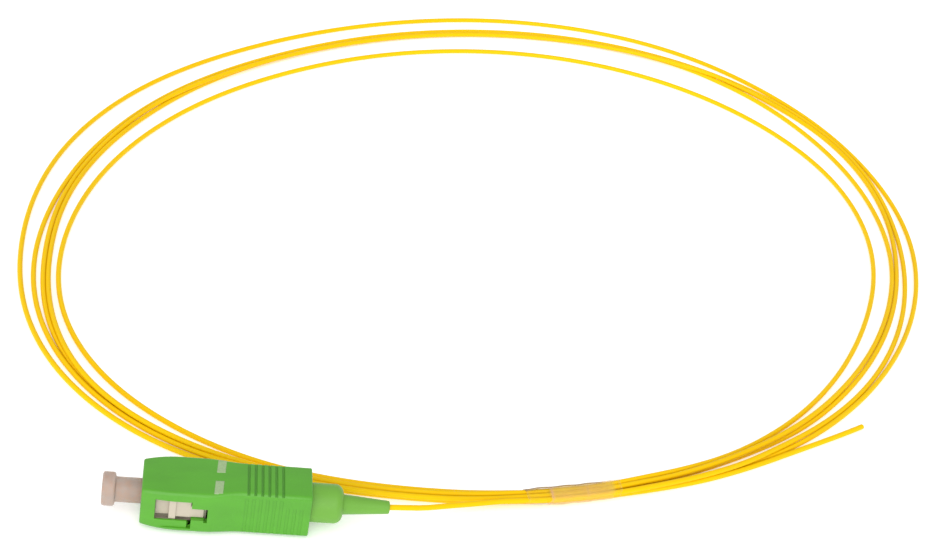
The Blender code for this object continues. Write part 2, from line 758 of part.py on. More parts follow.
def build_fibre():
    yellow = solid_material("yellow_buffer", (0.92, 0.52, 0.01), 0.4)
    tape_film = solid_material("tape_film", (0.93, 0.60, 0.25), 0.25)
    boot_end = (FRONT_X + BOOT_BACK + SEAT_GAP, 0, AXIS_HEIGHT)
    lead = smooth_route([boot_end, *LEAD_ROUTE], FIBRE_POINT_SPACING)
    tail = smooth_route(TAIL_ROUTE, FIBRE_POINT_SPACING)
    make_fibre_inside(yellow)
    wire("fibre_lead", lead, FIBRE_RADIUS, yellow)
    make_fibre_coil(yellow)
    wire("fibre_tail", tail, FIBRE_RADIUS, yellow)
    make_tape_wrap(tape_film)


def main():
    clear_scene()
    axis = bpy.data.objects.new("plug_axis", None)
    parts.objects.link(axis)
    for piece in build_plug():
        piece.parent = axis
    build_fibre()


main()
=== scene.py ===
"""Looks of a fibre optic pigtail: a push-pull plug with its dust cap and boot on the end of a yellow
buffered fibre, which lies in five loose turns held by a wrap of clear tape.

Units are metres. The plug's axis runs along X, x = 0 is half way from the cap's tip to the end of the
boot's solid, and distances called "back" are measured from the front face of the outer housing.
"""
import json
import math
from functools import lru_cache

import bmesh
import bpy
import numpy as np
from bpy.props import FloatProperty, FloatVectorProperty, PointerProperty
from mathutils import Matrix, Vector


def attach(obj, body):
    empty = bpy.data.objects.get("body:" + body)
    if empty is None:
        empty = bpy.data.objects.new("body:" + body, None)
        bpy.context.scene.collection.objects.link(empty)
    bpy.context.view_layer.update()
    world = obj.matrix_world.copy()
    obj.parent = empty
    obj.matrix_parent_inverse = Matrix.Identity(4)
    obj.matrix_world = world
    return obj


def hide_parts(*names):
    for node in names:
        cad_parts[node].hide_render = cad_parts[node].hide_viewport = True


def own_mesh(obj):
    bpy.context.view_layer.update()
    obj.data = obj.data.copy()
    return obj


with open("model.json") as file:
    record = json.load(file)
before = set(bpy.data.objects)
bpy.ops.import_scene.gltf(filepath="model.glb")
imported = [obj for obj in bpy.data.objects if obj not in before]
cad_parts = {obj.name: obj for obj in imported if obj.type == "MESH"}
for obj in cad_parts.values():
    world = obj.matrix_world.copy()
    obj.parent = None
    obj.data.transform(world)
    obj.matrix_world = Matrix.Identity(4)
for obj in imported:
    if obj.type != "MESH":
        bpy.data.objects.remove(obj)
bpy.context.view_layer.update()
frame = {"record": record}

bl_info = {
    "name": "Fibre Pigtail Looks",
    "version": (1, 0, 0),
    "blender": (4, 5, 0),
    "location": "3D View > Sidebar > Pigtail",
    "description": "Builds the visible pieces of a fibre optic pigtail around its solids",
    "category": "Object",
}

SLOT_COLOURS = {row["slot"]: row["base_color"][:3] for row in frame["record"]["materials"]}
MILLIMETRE = 0.001

# Outer housing
HOUSING_LENGTH = 0.0254
HOUSING_WIDTH = 0.0092
HOUSING_HEIGHT = 0.0074
GRIP_WIDTH = 0.0076
GRIP_RISE = 0.0002
HOUSING_CORNER = 0.0007
EDGE_ROUNDING = 0.0002
LEAD_IN_LENGTH = 0.0055
LEAD_IN_WIDTH_DROP = 0.0007
LEAD_IN_HEIGHT_DROP = 0.00035
WAIST_START = 0.0094
WAIST_LENGTH = 0.0058
HOUSING_WALL = 0.0011
HOUSING_FLOOR_WALL = 0.0007
CAVITY_DEPTH = 0.0119
CAVITY_CORNER = 0.0005
KEY_WIDTH = 0.0021
KEY_HEIGHT = 0.0006
KEY_START = 0.0012
KEY_LENGTH = 0.0070

# Side windows, heights measured from the plug's axis
WINDOW_START = 0.00215
WINDOW_LENGTH = 0.00545
WINDOW_LOW = -0.0016
WINDOW_HIGH = 0.0022
SLOT_LENGTH = 0.0024
SLOT_LOW = -0.0012
SLOT_HIGH = 0.0010
SLOT_NOTCH_LENGTH = 0.0005
SLOT_NOTCH_DROP = 0.0004
POCKET_LOW = -0.0029
POCKET_DEPTH = 0.00018
LIP_THICKNESS = 0.0003
HOLLOW_LOW = -0.0025
NOTCH_LENGTH = 0.0006
NOTCH_DEPTH = 0.0007

# Grip grooves
GROOVE_PITCH = 0.00104
GROOVE_WIDTH = 0.00042
SIDE_GROOVE_WIDTH = 0.00052
SIDE_GROOVE_DEPTH = 0.00008
TOP_GROOVES = 6
TOP_GROOVES_START = 0.0156
SIDE_GROOVES = 9
SIDE_GROOVES_START = 0.0154
SIDE_GROOVES_TALL = 6
SIDE_GROOVE_FOOT = 0.0005
SIDE_GROOVE_TALL_DROP = 0.0009
SIDE_GROOVE_SHORT_DROP = 0.0024

# Printed bars on the housing's top face
MARK_START = 0.0109
MARK_END = 0.0122
MARK_INNER = 0.00095
MARK_OUTER = 0.0040
MARK_LEAN = 0.06
MARK_SKIN = 0.000012
MARK_EDGE_MARGIN = 0.00004
MARK_ROWS = 8
MARK_STEPS = 14

# Clearances and how far a cutter reaches past a surface
SEAT_GAP = 0.0003
SLIDE_GAP = 0.0003
BORE_GAP = 0.00015
CUTTER_REACH = 0.001
JOIN_DEPTH = 0.0002

# Plug frame inside the housing
FRAME_START = 0.0003
FRAME_BLOCK_LENGTH = 0.0095
FRAME_LENGTH = 0.0181
FRAME_CORNER = 0.0005
BARREL_RADIUS = 0.00265
FRAME_BORE_RADIUS = 0.0022
FRAME_BORE_DEPTH = 0.0071
PARTITION_THICKNESS = 0.0012
RIB_START = 0.00425
RIB_WIDTH = 0.0010
RIB_REACH = 0.0009
FRONT_PAD_REACH = 0.00022
REAR_PAD_REACH = 0.00068
PAD_LOW = -0.0012
UNDERCUT = 0.0006
TONGUE_LENGTH = 0.0018
TONGUE_REACH = 0.0007
TONGUE_LOW = -0.0011
CATCH_MARGIN = 0.0001

# Ferrule, flange, spring and stop ring
FERRULE_RADIUS = 0.00125
FERRULE_STANDS_OUT = 0.0019
FERRULE_LENGTH = 0.0118
FERRULE_CHAMFER = 0.0003
FERRULE_TILT = math.radians(8)
FERRULE_TRAVEL = 0.0010
FERRULE_ROUNDING = 0.00008
FERRULE_EDGE = 0.00003
TURNED_ROUNDING = 0.00012
FLANGE_RADIUS = 0.0019
FLANGE_THICKNESS = 0.0018
FLANGE_TAIL_RADIUS = 0.00135
FLANGE_TAIL_LENGTH = 0.0018
FLANGE_BORE_RADIUS = 0.0006
SPRING_WIRE_RADIUS = 0.00016
SPRING_TURNS = 6
STOP_INSERT_DEPTH = 0.0022
STOP_FLANGE_RADIUS = 0.0027
STOP_FLANGE_THICKNESS = 0.0007
STOP_TAIL_RADIUS = 0.00155
STOP_TAIL_LENGTH = 0.0050
STOP_BORE_RADIUS = 0.00075

# Boot
COLLAR_RADIUS = 0.0030
COLLAR_SHOWN = 0.0044
COLLAR_FULLNESS = 0.0006
COLLAR_ROUNDING = 0.0013
TAIL_LENGTH = 0.0072
TAIL_ROOT_RADIUS = 0.00155
TAIL_END_RADIUS = 0.00102
TAIL_END_ROUNDING = 0.0002
BOOT_BORE_RADIUS = 0.00065
COLLAR_EDGE = 0.0001
BOOT_MOUTH_EDGE = 0.00008
BOOT_FILLET = ((0.00022, 0), (0.00006, 0.00005), (0, 0.0002))

# Dust cap
CAP_STANDS_OUT = 0.0059
CAP_FLANGE_RADIUS = 0.00258
CAP_FLANGE_LENGTH = 0.0020
CAP_FLANGE_ROUNDING = 0.0004
CAP_BODY_RADIUS = 0.00192
CAP_INSERT_DEPTH = 0.0048
CAP_END_EDGE = 0.0002
CAP_MOUTH_EDGE = 0.0001
CAP_FILLET = ((0.00018, 0), (0.00005, 0.00005), (0, 0.00018))

# Fibre and the oval that its turns follow
FIBRE_RADIUS = 0.00045
STRAND_GAP = 0.00002
OVAL_MIDDLE = (0.0465, 0.0870)
OVAL_LONG_RADIUS = 0.0905
OVAL_SHORT_RADIUS = 0.0730
OVAL_TURNED = math.radians(43)

# How deep inside the boot's end the visible strand's first two points lie
STRAND_DEPTHS = (0.0018, 0.0010)

# The fibre from the boot to the tape
LEAD_ROUTE = (
    (0.02175, 0.0, 0.0043),
    (0.0242, 0.0003, 0.0042),
    (0.0275, 0.0015, 0.0034),
    (0.0315, 0.0034, 0.0025),
    (0.0365, 0.0052, 0.0019),
    (0.0408, 0.0065, 0.0017),
    (0.0444, 0.0074, 0.0016),
)

# Where it goes on under the film: degrees, how much further in, and its height
LEAD_PAST = (275, 290)
LEAD_PAST_INWARD = 0.0007
LEAD_PAST_HEIGHT = FIBRE_RADIUS * 3

# Where the five turns lie: degrees round the oval, then each turn's distance outside the oval in
# millimetres, outermost first, as seen from the camera on the floor
LANES = (
    (0, 2.8, 0.2, -1.4, -2.0, -5.8),
    (12, 2.3, -0.3, -0.9, -2.9, -6.8),
    (24, 1.5, 0.6, -0.2, -3.5, -8.1),
    (34, 1.7, 1.2, 0.3, -3.6, -9.8),
    (45, 2.4, 0.7, -0.2, -2.1, -10.8),
    (58, 4.9, 0.6, 0.0, -0.6, -10.8),
    (80, 5.9, 0.3, -0.4, -0.8, -9.4),
    (105, 5.1, -0.2, -0.7, -1.1, -7.9),
    (125, 5.0, -0.2, -0.9, -1.4, -7.1),
    (150, 6.0, 0.6, -0.3, -1.2, -5.8),
    (172, 5.0, 0.1, -0.7, -1.4, -5.0),
    (184, 3.8, 0.2, -0.9, -1.7, -4.5),
    (192, 3.2, 0.7, -1.3, -2.2, -3.9),
    (204, 3.8, 1.8, 0.0, -0.8, -2.4),
    (217, 4.0, 2.2, 1.7, 1.2, -1.9),
    (231, 2.6, 0.8, 0.2, -0.4, -2.6),
    (240, 0.1, -0.4, -1.1, -2.0, -2.8),
    (250, -2.0, -2.6, -3.1, -3.6, -4.1),
    (262, -1.9, -2.4, -3.1, -3.8, -4.3),
    (275, -1.4, -2.0, -2.6, -3.1, -3.6),
    (284, -0.6, -1.1, -1.6, -2.2, -2.7),
    (293, 1.1, 0.4, -1.0, -1.5, -1.9),
    (300, 2.0, 1.2, -0.7, -1.2, -1.7),
    (310, 2.6, 1.6, 0.3, -0.5, -1.8),
    (325, 3.0, 2.2, -0.3, -0.8, -3.2),
    (345, 2.9, 1.3, -1.0, -1.5, -5.2),
)

# The free end in the same terms, and the lane that each turn keeps, counted from the outermost
FREE_END = (
    (284, -0.7), (293, 0.9), (300, 1.7), (304.6, 2.3), (309, 3.2), (312.5, 4.2), (316, 5.4), (319.4, 7.0),
)
LANE_OF_TURN = (2, 4, 5, 3, 1)
TURN = 360
LEAD_DEGREES = 254
END_DEGREES = 2119

# Turns change lanes inside the tape, where the first three lie on top of the others
TAPE_MIDDLE = 276
LANE_CHANGE = 10
UPPER_TURNS = 3
UPPER_LIFT = 0.00085
UPPER_FROM = 40
UPPER_TO = 14
UPPER_RAMP = 15
LIFTED_STRETCHES = ((3, 36, 200), (0, 200, 240), (5, 278, 302))
STRETCH_LIFT = 0.0006
FILM_UNDER = 0.00012
FILM_UNDER_SPAN = 8

# How the turns settle: spans are in degrees, and a change comes after that share of the rounds
SETTLING_ROUNDS = 320
LEAD_HELD_TO = 262
LEAD_FREED_OVER = 9
TAPE_GRIP_SPAN = 16
TAPE_GRIP_PULL = 0.25
PULL_FIRST = 0.25
PULL_LAST = 0.03
SINK_STEP = 0.000012
BLUR_FIRST, BLUR_LAST, BLUR_CHANGE = 4.0, 2.5, 0.7
PUSHES_FIRST, PUSHES_LAST, PUSHES_CHANGE = 4, 12, 0.85

# Tape: from and to are degrees round the oval, the wrap is in turns round the bundle
TAPE_FROM = 268.7
TAPE_TO = 282.4
TAPE_SLANT = 2.2
TAPE_WRAP = 1.16
TAPE_STATIONS = 64
TAPE_STEPS = 72
WRAP_START = 0.9
SLANT_START = 0.6
END_WAVER = 0.25
FILM_FLOOR = 0.00004

# How loosely the film lies, by its share of the length and its turn
OVERLAP_RISE = 2.2
OVERLAP_FROM, OVERLAP_RAMP = 0.93, 0.07
BULGE = 2.2
BULGE_RISE, BULGE_FALL_FROM, BULGE_FALL = 0.14, 0.7, 0.3
SLACK_LEAST, SLACK_WAVE = 0.55, 0.5
LONG_WAVE, SHORT_WAVE, WAVE_SHIFT = 9, 17, 1.3

# Where the film lies in two layers, by its share of the length
DOUBLE_FROM = 0.25
DOUBLE_TO = 0.88
DOUBLE_RISE, DOUBLE_FALL = 0.03, 0.06

# Pale lines on the film: the strength of each, and the distance over which full strength fades
END_LINE = (0.3, 0.1)
LAYER_LINE = (0.9, 0.025)
SEAM_LINE = (0.5, 0.02)
OVERLAP_LINE = (0.8, 0.035)
CROSS_SEAM = 0.62

# The painted shade line along the film's far upper edge
SHADE_LINE_FACING = 0.345
SHADE_LINE_HALF_WIDTH = 0.053
SHADE_LINE_FADE = 0.02
SHADE_LINE_TO = 0.76
SHADE_LINE_END_FADE = 0.08

# Colours and densities of those places
RIM_COLOUR = (0.93, 0.58, 0.42)
# the colour of the painted shade line
SHADE_LINE_COLOUR = (0.30, 0.20, 0.13)
DOUBLE_DENSITY = 0.15
RIM_DENSITY = 0.22
SHADE_LINE_DENSITY = 0.60

# Camera and light
EYE = (-0.01712, -0.24709, 0.2140)
VIEW_FORWARD = (0.1472, 0.8221, -0.5500)
VIEW_RIGHT = (0.9856, -0.0749, 0.1518)
SENSOR_WIDTH = 36.0
NEAREST_SEEN = 0.005
FLOOR_REACH = 4.0
SUN_SOFTNESS = math.radians(70)
SUN_TURNED = (math.radians(52), 0, math.radians(-14))

# Blender's words for adding to a piece and for cutting it, and the least angle of a hard edge
ADD, CUT = "UNION", "DIFFERENCE"
HARD_EDGE = 40

# Places worked out from the sizes above
AXIS_HEIGHT = KEY_HEIGHT + HOUSING_HEIGHT / 2
FRONT_X = -(CAP_STANDS_OUT + HOUSING_LENGTH + COLLAR_SHOWN + TAIL_LENGTH) / 2 + CAP_STANDS_OUT
CAVITY_HALF_WIDTH = HOUSING_WIDTH / 2 - HOUSING_WALL
CAVITY_HALF_HEIGHT = HOUSING_HEIGHT / 2 - HOUSING_FLOOR_WALL
HOUSING_BORE_RADIUS = COLLAR_RADIUS + SLIDE_GAP
FRAME_HALF_WIDTH = CAVITY_HALF_WIDTH - SLIDE_GAP
FRAME_HALF_HEIGHT = CAVITY_HALF_HEIGHT - SLIDE_GAP
FRAME_END = FRAME_START + FRAME_LENGTH
PARTITION_FRONT = FRAME_START + FRAME_BORE_DEPTH
PARTITION_BACK = PARTITION_FRONT + PARTITION_THICKNESS
WINDOW_END = WINDOW_START + WINDOW_LENGTH
FERRULE_BACK = FERRULE_LENGTH - FERRULE_STANDS_OUT
FLANGE_FRONT = PARTITION_BACK + SEAT_GAP
FLANGE_BACK = FLANGE_FRONT + FLANGE_THICKNESS
FLANGE_TAIL_BACK = FLANGE_BACK + FLANGE_TAIL_LENGTH
STOP_FLANGE_FRONT = FRAME_END + SEAT_GAP
STOP_FRONT = STOP_FLANGE_FRONT - SEAT_GAP - STOP_INSERT_DEPTH
STOP_FLANGE_BACK = STOP_FLANGE_FRONT + STOP_FLANGE_THICKNESS
STOP_BACK = STOP_FLANGE_BACK + STOP_TAIL_LENGTH
SPRING_RADIUS = (FLANGE_TAIL_RADIUS + FRAME_BORE_RADIUS) / 2
COLLAR_FRONT = STOP_FLANGE_BACK + SEAT_GAP
COLLAR_BACK = HOUSING_LENGTH + COLLAR_SHOWN + COLLAR_FULLNESS
BOOT_BACK = COLLAR_BACK + TAIL_LENGTH


# Settings

def colour_setting(name, description, default):
    return FloatVectorProperty(
        name=name, description=description, subtype="COLOR", size=3, min=0, max=1, default=default
    )


def length_setting(name, description, low, high, default):
    return FloatProperty(
        name=name, description=description, subtype="DISTANCE", min=low, max=high, default=default
    )


class PlugSettings(bpy.types.PropertyGroup):
    """Sizes and colours of the plug."""
    housing_green: colour_setting("Housing green", "Colour of the sliding housing", (0.078, 0.335, 0.014))
    boot_green: colour_setting("Boot green", "Colour of the boot", (0.140, 0.370, 0.036))
    frame_beige: colour_setting("Frame beige", "Colour of the inner frame", (0.52, 0.455, 0.365))
    cap_tint: colour_setting("Cap tint", "Colour of the translucent dust cap", (0.42, 0.335, 0.285))
    mark_grey: colour_setting("Mark grey", "Colour of the printed bars", (0.31, 0.44, 0.22))
    groove_depth: length_setting(
        "Groove depth", "Depth of the grip grooves on the wide faces", 0.00005, 0.0005, 0.00034
    )
    edge_softness: length_setting(
        "Edge softness", "Rounding of the moulded edges", 0.00001, 0.0001, 0.00006
    )


class FibreSettings(bpy.types.PropertyGroup):
    """Size and colour of the fibre."""
    buffer_yellow: colour_setting("Buffer yellow", "Colour of the buffered fibre", (0.86, 0.545, 0.001))
    radius: length_setting("Radius", "Radius of the buffered fibre", 0.0003, 0.0006, FIBRE_RADIUS)


class TapeSettings(bpy.types.PropertyGroup):
    """Size and colour of the tape."""
    film_tint: colour_setting("Film tint", "Colour of the clear film", (1.0, 0.74, 0.14))
    thickness: length_setting("Thickness", "Thickness of the film", 0.00002, 0.0002, 0.00005)
    slack: length_setting("Slack", "Gap between the film and the fibre under it", 0.00003, 0.0005, 0.00010)


class StageSettings(bpy.types.PropertyGroup):
    """Floor, light and lens."""
    floor_white: colour_setting("Floor", "Colour of the floor", (0.97, 0.97, 0.97))
    room_strength: FloatProperty(
        name="Room light", description="Strength of the even light from all round",
        min=0, max=3, default=0.78,
    )
    key_strength: FloatProperty(
        name="Key light", description="Strength of the soft key light", min=0, max=10, default=1.8,
    )
    lens: FloatProperty(
        name="Lens", description="Focal length in millimetres", min=20, max=200, default=81.85,
    )


# Finishes

class Signal:
    """A shader socket that takes part in sums and products."""

    def __init__(self, finish, socket):
        self.finish = finish
        self.socket = socket

    def _worked(self, operation, other):
        return self.finish.node("ShaderNodeMath", {"operation": operation}, {0: self, 1: other})

    def __add__(self, other):
        return self._worked("ADD", other)

    def __mul__(self, other):
        return self._worked("MULTIPLY", other)

    __radd__ = __add__
    __rmul__ = __mul__


class Finish:
    """One procedural material in the making."""

    def __init__(self, name, **uniform):
        self.material = bpy.data.materials.new(name)
        self.material.use_nodes = True
        self.tree = self.material.node_tree
        self.shader = self.tree.nodes["Principled BSDF"]
        for socket, value in uniform.items():
            self.shader.inputs[socket.replace("_", " ")].default_value = value
        self.place = self.node("ShaderNodeTexCoord", output="Object")

    def node(self, kind, settings=None, sockets=None, output=0):
        """Adds a node: its settings first, then its sockets' values or links."""
        added = self.tree.nodes.new(kind)
        for name, value in (settings or {}).items():
            if name == "stops":
                for stop, (position, colour) in zip(added.color_ramp.elements, value):
                    stop.position = position
                    stop.color = (*colour, 1.0)
            else:
                setattr(added, name, value)
        for name, value in (sockets or {}).items():
            if isinstance(value, Signal):
                self.tree.links.new(value.socket, added.inputs[name])
            else:
                added.inputs[name].default_value = value
        return Signal(self, added.outputs[output])

    def cells(self, scale, detail=2.0, roughness=0.5, stretch=(1, 1, 1)):
        """Soft noise between 0 and 1, scale in cells a metre."""
        place = self.node(
            "ShaderNodeVectorMath", {"operation": "MULTIPLY"}, {0: self.place, 1: stretch}
        )
        sockets = {"Vector": place, "Scale": scale, "Detail": detail, "Roughness": roughness}
        return self.node("ShaderNodeTexNoise", None, sockets)

    def spread(self, signal, low, high, new_low, new_high):
        sockets = {"Value": signal, 1: low, 2: high, 3: new_low, 4: new_high}
        return self.node("ShaderNodeMapRange", None, sockets)

    def mix(self, share, one, two):
        """A colour between two, by share."""
        colours = [c if isinstance(c, Signal) else (*c[:3], 1.0) for c in (one, two)]
        sockets = {0: share, 6: colours[0], 7: colours[1]}
        return self.node("ShaderNodeMix", {"data_type": "RGBA"}, sockets, output=2)

    def clouded(self, noise, low, high, one, two):
        """A colour that goes from one to two while the noise goes from low to high."""
        return self.mix(self.spread(noise, low, high, 0.0, 1.0), one, two)

    def done(self, tone, gloss, relief=None, depth=0.0, density=None):
        """Feeds the shader: colour, roughness, relief with its depth, and density for a clear skin."""
        links = {"Base Color": tone, "Roughness": gloss}
        if relief:
            sockets = {"Height": relief, "Distance": depth, "Strength": 1.0}
            links["Normal"] = self.node("ShaderNodeBump", None, sockets)
        if density:
            links["Alpha"] = density
        for socket, signal in links.items():
            self.tree.links.new(signal.socket, self.shader.inputs[socket])
        return self.material


def shade(colour, share):
    """The colour made lighter (above 1) or darker."""
    return tuple(min(channel * share, 1.0) for channel in colour)


def moulded_plastic(name, colour, gloss_low, gloss_high, grain, **uniform):
    """Injection-moulded plastic: faint flow clouds, a fine mould grain and uneven gloss."""
    finish = Finish(name, **uniform)
    flow = finish.cells(260, 3.0, 0.55, (0.35, 1, 1))
    fine = finish.cells(9000, 2.0, 0.6)
    speck = finish.cells(2600, 1.0, 0.5)
    tone = finish.clouded(flow, 0.3, 0.7, shade(colour, 0.93), shade(colour, 1.07))
    dust_and_shade = finish.mix(finish.spread(speck, 0.60, 0.80, 0.0, 0.16), tone, shade(colour, 1.35))
    gloss = finish.spread(flow + fine * 0.4, 0.4, 1.0, gloss_low, gloss_high)
    return finish.done(dust_and_shade, gloss, fine + speck * 0.8, grain)


def housing_finish(colour):
    return moulded_plastic("housing_green", colour, 0.30, 0.42, 0.000010, Specular_IOR_Level=0.5)


def boot_finish(colour):
    return moulded_plastic("boot_green", colour, 0.42, 0.55, 0.000014, Specular_IOR_Level=0.45)


def frame_finish(colour):
    return moulded_plastic("frame_beige", colour, 0.38, 0.50, 0.000010, Specular_IOR_Level=0.5)


def cap_finish(tint):
    """Milky translucent plastic with warmer and denser clouds in it."""
    finish = Finish(
        "cap_plastic", Specular_IOR_Level=0.5, Subsurface_Weight=0.25, Subsurface_Scale=0.0012,
        Subsurface_Radius=(1.0, 0.55, 0.4),
    )
    milk = finish.cells(620, 3.0, 0.6)
    fine = finish.cells(8000, 2.0, 0.5)
    warmer = (tint[0] * 1.05, tint[1] * 0.88, tint[2] * 0.78)
    tone = finish.clouded(milk, 0.35, 0.68, shade(tint, 1.08), warmer)
    gloss = finish.spread(fine, 0.3, 0.7, 0.26, 0.40)
    return finish.done(tone, gloss, fine, 0.000008, finish.spread(milk, 0.3, 0.7, 0.74, 0.90))


def print_finish(colour):
    """Pale ink, thin enough for some of the green to show."""
    finish = Finish("pale_print", Specular_IOR_Level=0.4)
    blots = finish.cells(3200, 3.0, 0.65)
    tone = finish.clouded(blots, 0.35, 0.7, shade(colour, 1.05), shade(colour, 0.9))
    return finish.done(tone, finish.spread(blots, 0.3, 0.7, 0.40, 0.55), blots, 0.000004)


def ceramic_finish(colour):
    """Polished zirconia with the faint sheen bands of its grinding."""
    finish = Finish("zirconia", Specular_IOR_Level=0.65, Coat_Weight=0.3, Coat_Roughness=0.05)
    haze = finish.cells(900, 2.0, 0.5)
    bands = finish.cells(14000, 1.0, 0.5, (1, 0.05, 0.05))
    tone = finish.mix(haze, shade(colour, 0.96), shade(colour, 1.03))
    return finish.done(tone, finish.spread(bands, 0.3, 0.7, 0.08, 0.16), bands, 0.000002)


def plated_finish(colour):
    """Turned and plated metal: fine rings left by the tool under the plating."""
    finish = Finish("nickel_plate", Metallic=1.0)
    rings = finish.cells(16000, 1.0, 0.5, (1, 0.03, 0.03))
    stain = finish.cells(700, 3.0, 0.6)
    tone = finish.mix(stain, shade(colour, 0.9), shade(colour, 1.1))
    return finish.done(tone, finish.spread(rings, 0.3, 0.7, 0.20, 0.36), rings, 0.000004)


def buffer_finish(colour):
    """Extruded buffer: slow colour drift along the run, fine drawing lines and a satin skin."""
    finish = Finish("yellow_buffer", Specular_IOR_Level=0.1)
    drift = finish.cells(55, 2.0, 0.5)
    lines = finish.cells(5200, 2.0, 0.6)
    scuff = finish.cells(900, 3.0, 0.7)
    duller = (colour[0] * 0.95, colour[1] * 0.93, colour[2])
    tone = finish.clouded(drift, 0.3, 0.7, duller, colour)
    scuffed = finish.mix(finish.spread(scuff, 0.62, 0.8, 0.0, 0.25), tone, shade(colour, 1.25))
    gloss = finish.spread(scuff, 0.3, 0.7, 0.36, 0.50)
    return finish.done(scuffed, gloss, lines + scuff * 0.5, 0.000010)


def film_finish(tint):
    """Thin clear film with soft creases: denser in two layers and at its cut ends, with a painted shade
    line along its far upper edge.
    """
    finish = Finish("tape_film", Specular_IOR_Level=0.12)
    rim, double, fold = [
        finish.node("ShaderNodeAttribute", {"attribute_name": name}, output="Fac")
        for name in ("rim", "double", "fold")
    ]
    crease = finish.cells(260, 2.0, 0.5, (1, 2.2, 1))
    tone = finish.clouded(crease, 0.35, 0.65, tint, (tint[0], tint[1] * 0.90, tint[2] * 1.3))
    edged = finish.mix(rim, tone, RIM_COLOUR)
    # painted shade: a dark brownish line along the film's far upper edge, which is also made denser below
    dust_and_shade = finish.mix(fold, edged, SHADE_LINE_COLOUR)
    gloss = finish.spread(crease, 0.3, 0.7, 0.16, 0.30)
    density = finish.spread(crease, 0.3, 0.7, 0.01, 0.03)
    density = density + double * DOUBLE_DENSITY + rim * RIM_DENSITY + fold * SHADE_LINE_DENSITY
    return finish.done(dust_and_shade, gloss, crease, 0.00006, density)


def floor_finish(white):
    finish = Finish("studio_floor", Specular_IOR_Level=0.1, Emission_Strength=0.25)
    paper = finish.cells(6, 2.0, 0.5)
    tone = finish.mix(paper, white, shade(white, 1.01))
    return finish.done(tone, finish.spread(paper, 0, 1, 0.85, 0.95))


# Shapes

def add_object(name, data, material=None):
    thing = bpy.data.objects.new(name, data)
    bpy.context.scene.collection.objects.link(thing)
    if material:
        data.materials.append(material)
    return thing


def on_plug(back, y, z):
    """A point of the plug: back from the housing's front, across, and up from the axis."""
    return Vector((FRONT_X + back, y, AXIS_HEIGHT + z))


def smooth(thing, angle=32):
    thing.data.shade_smooth()
    thing.data.set_sharp_from_angle(angle=math.radians(angle))
    return thing


def mesh_object(name, shape, material=None):
    bmesh.ops.recalc_face_normals(shape, faces=shape.faces)
    mesh = bpy.data.meshes.new(name)
    shape.to_mesh(mesh)
    shape.free()
    return add_object(name, mesh, material)


def skin(name, loops, material=None, closed=True):
    """Skins a row of equal point loops, as a closed body or as an open sheet."""
    shape = bmesh.new()
    rings = [[shape.verts.new(point) for point in loop] for loop in loops]
    count = len(rings[0])
    for one, two in zip(rings, rings[1:]):
        for i in range(count if closed else count - 1):
            j = (i + 1) % count
            shape.faces.new((one[i], two[i], two[j], one[j]))
    if closed:
        shape.faces.new(rings[0])
        shape.faces.new(list(reversed(rings[-1])))
    return mesh_object(name, shape, material)


def turned(name, profile, material=None, steps=72):
    """Turns a profile of (radius, back) points about the plug's axis."""
    shape = bmesh.new()
    rings = []
    for radius, back in profile:
        if radius == 0:
            rings.append([shape.verts.new(on_plug(back, 0, 0))])
            continue
        angles = [math.tau * i / steps for i in range(steps)]
        rings.append(
            [shape.verts.new(on_plug(back, radius * math.cos(a), radius * math.sin(a))) for a in angles]
        )
    pairs = list(zip(rings, rings[1:]))
    if profile[0][0] > 0:
        pairs.append((rings[-1], rings[0]))
    for one, two in pairs:
        for i in range(steps):
            j = (i + 1) % steps
            if len(one) == 1:
                shape.faces.new((one[0], two[i], two[j]))
            elif len(two) == 1:
                shape.faces.new((one[j], one[i], two[0]))
            else:
                shape.faces.new((one[i], two[i], two[j], one[j]))
    return mesh_object(name, shape, material)


def rod(name, radius, start, end):
    return turned(name, [(0, start), (radius, start), (radius, end), (0, end)])


def eased(profile, radius, points=4):
    """Rounds each corner of a (radius, back) profile that isn't on the axis."""
    closed = profile[0][0] > 0
    count = len(profile)
    found = []
    for i, here in enumerate(profile):
        if not closed and i in (0, count - 1):
            found.append(here)
            continue
        here = Vector(here)
        before, after = Vector(profile[i - 1]), Vector(profile[(i + 1) % count])
        reach = min(radius, (before - here).length * 0.45, (after - here).length * 0.45)
        start = here + (before - here).normalized() * reach
        end = here + (after - here).normalized() * reach
        for k in range(points + 1):
            t = k / points
            found.append(tuple(start * (1 - t) ** 2 + here * 2 * t * (1 - t) + end * t ** 2))
    return found


def arc(centre, radius, start, end, points):
    """Points of (radius, back) along an arc, angles in degrees from outward towards the back."""
    found = []
    for i in range(points):
        angle = math.radians(start + (end - start) * i / (points - 1))
        found.append((centre[0] + radius * math.cos(angle), centre[1] + radius * math.sin(angle)))
    return found


def rounded_section(half_width, half_height, corner, points=8):
    """Points (y, z) of a rounded rectangle."""
    outline = []
    for side_y, side_z, turn in ((1, 1, 0), (-1, 1, 90), (-1, -1, 180), (1, -1, 270)):
        for i in range(points):
            angle = math.radians(turn + 90 * i / (points - 1))
            y = side_y * (half_width - corner) + corner * math.cos(angle)
            z = side_z * (half_height - corner) + corner * math.sin(angle)
            outline.append((y, z))
    return outline


def straight_block(name, start, end, half_width, half_height, corner, material=None):
    outline = rounded_section(half_width, half_height, corner)
    return skin(name, [[on_plug(back, y, z) for y, z in outline] for back in (start, end)], material)


def boxes(*rows):
    """One tool of boxes, each from a low corner to a high corner in the plug's terms."""
    shape = bmesh.new()
    for low, high in rows:
        made = bmesh.ops.create_cube(shape, size=1.0)["verts"]
        bmesh.ops.scale(shape, vec=[b - a for a, b in zip(low, high)], verts=made)
        middle = [(a + b) / 2 for a, b in zip(low, high)]
        bmesh.ops.translate(shape, vec=on_plug(*middle), verts=made)
    return mesh_object("tool", shape)


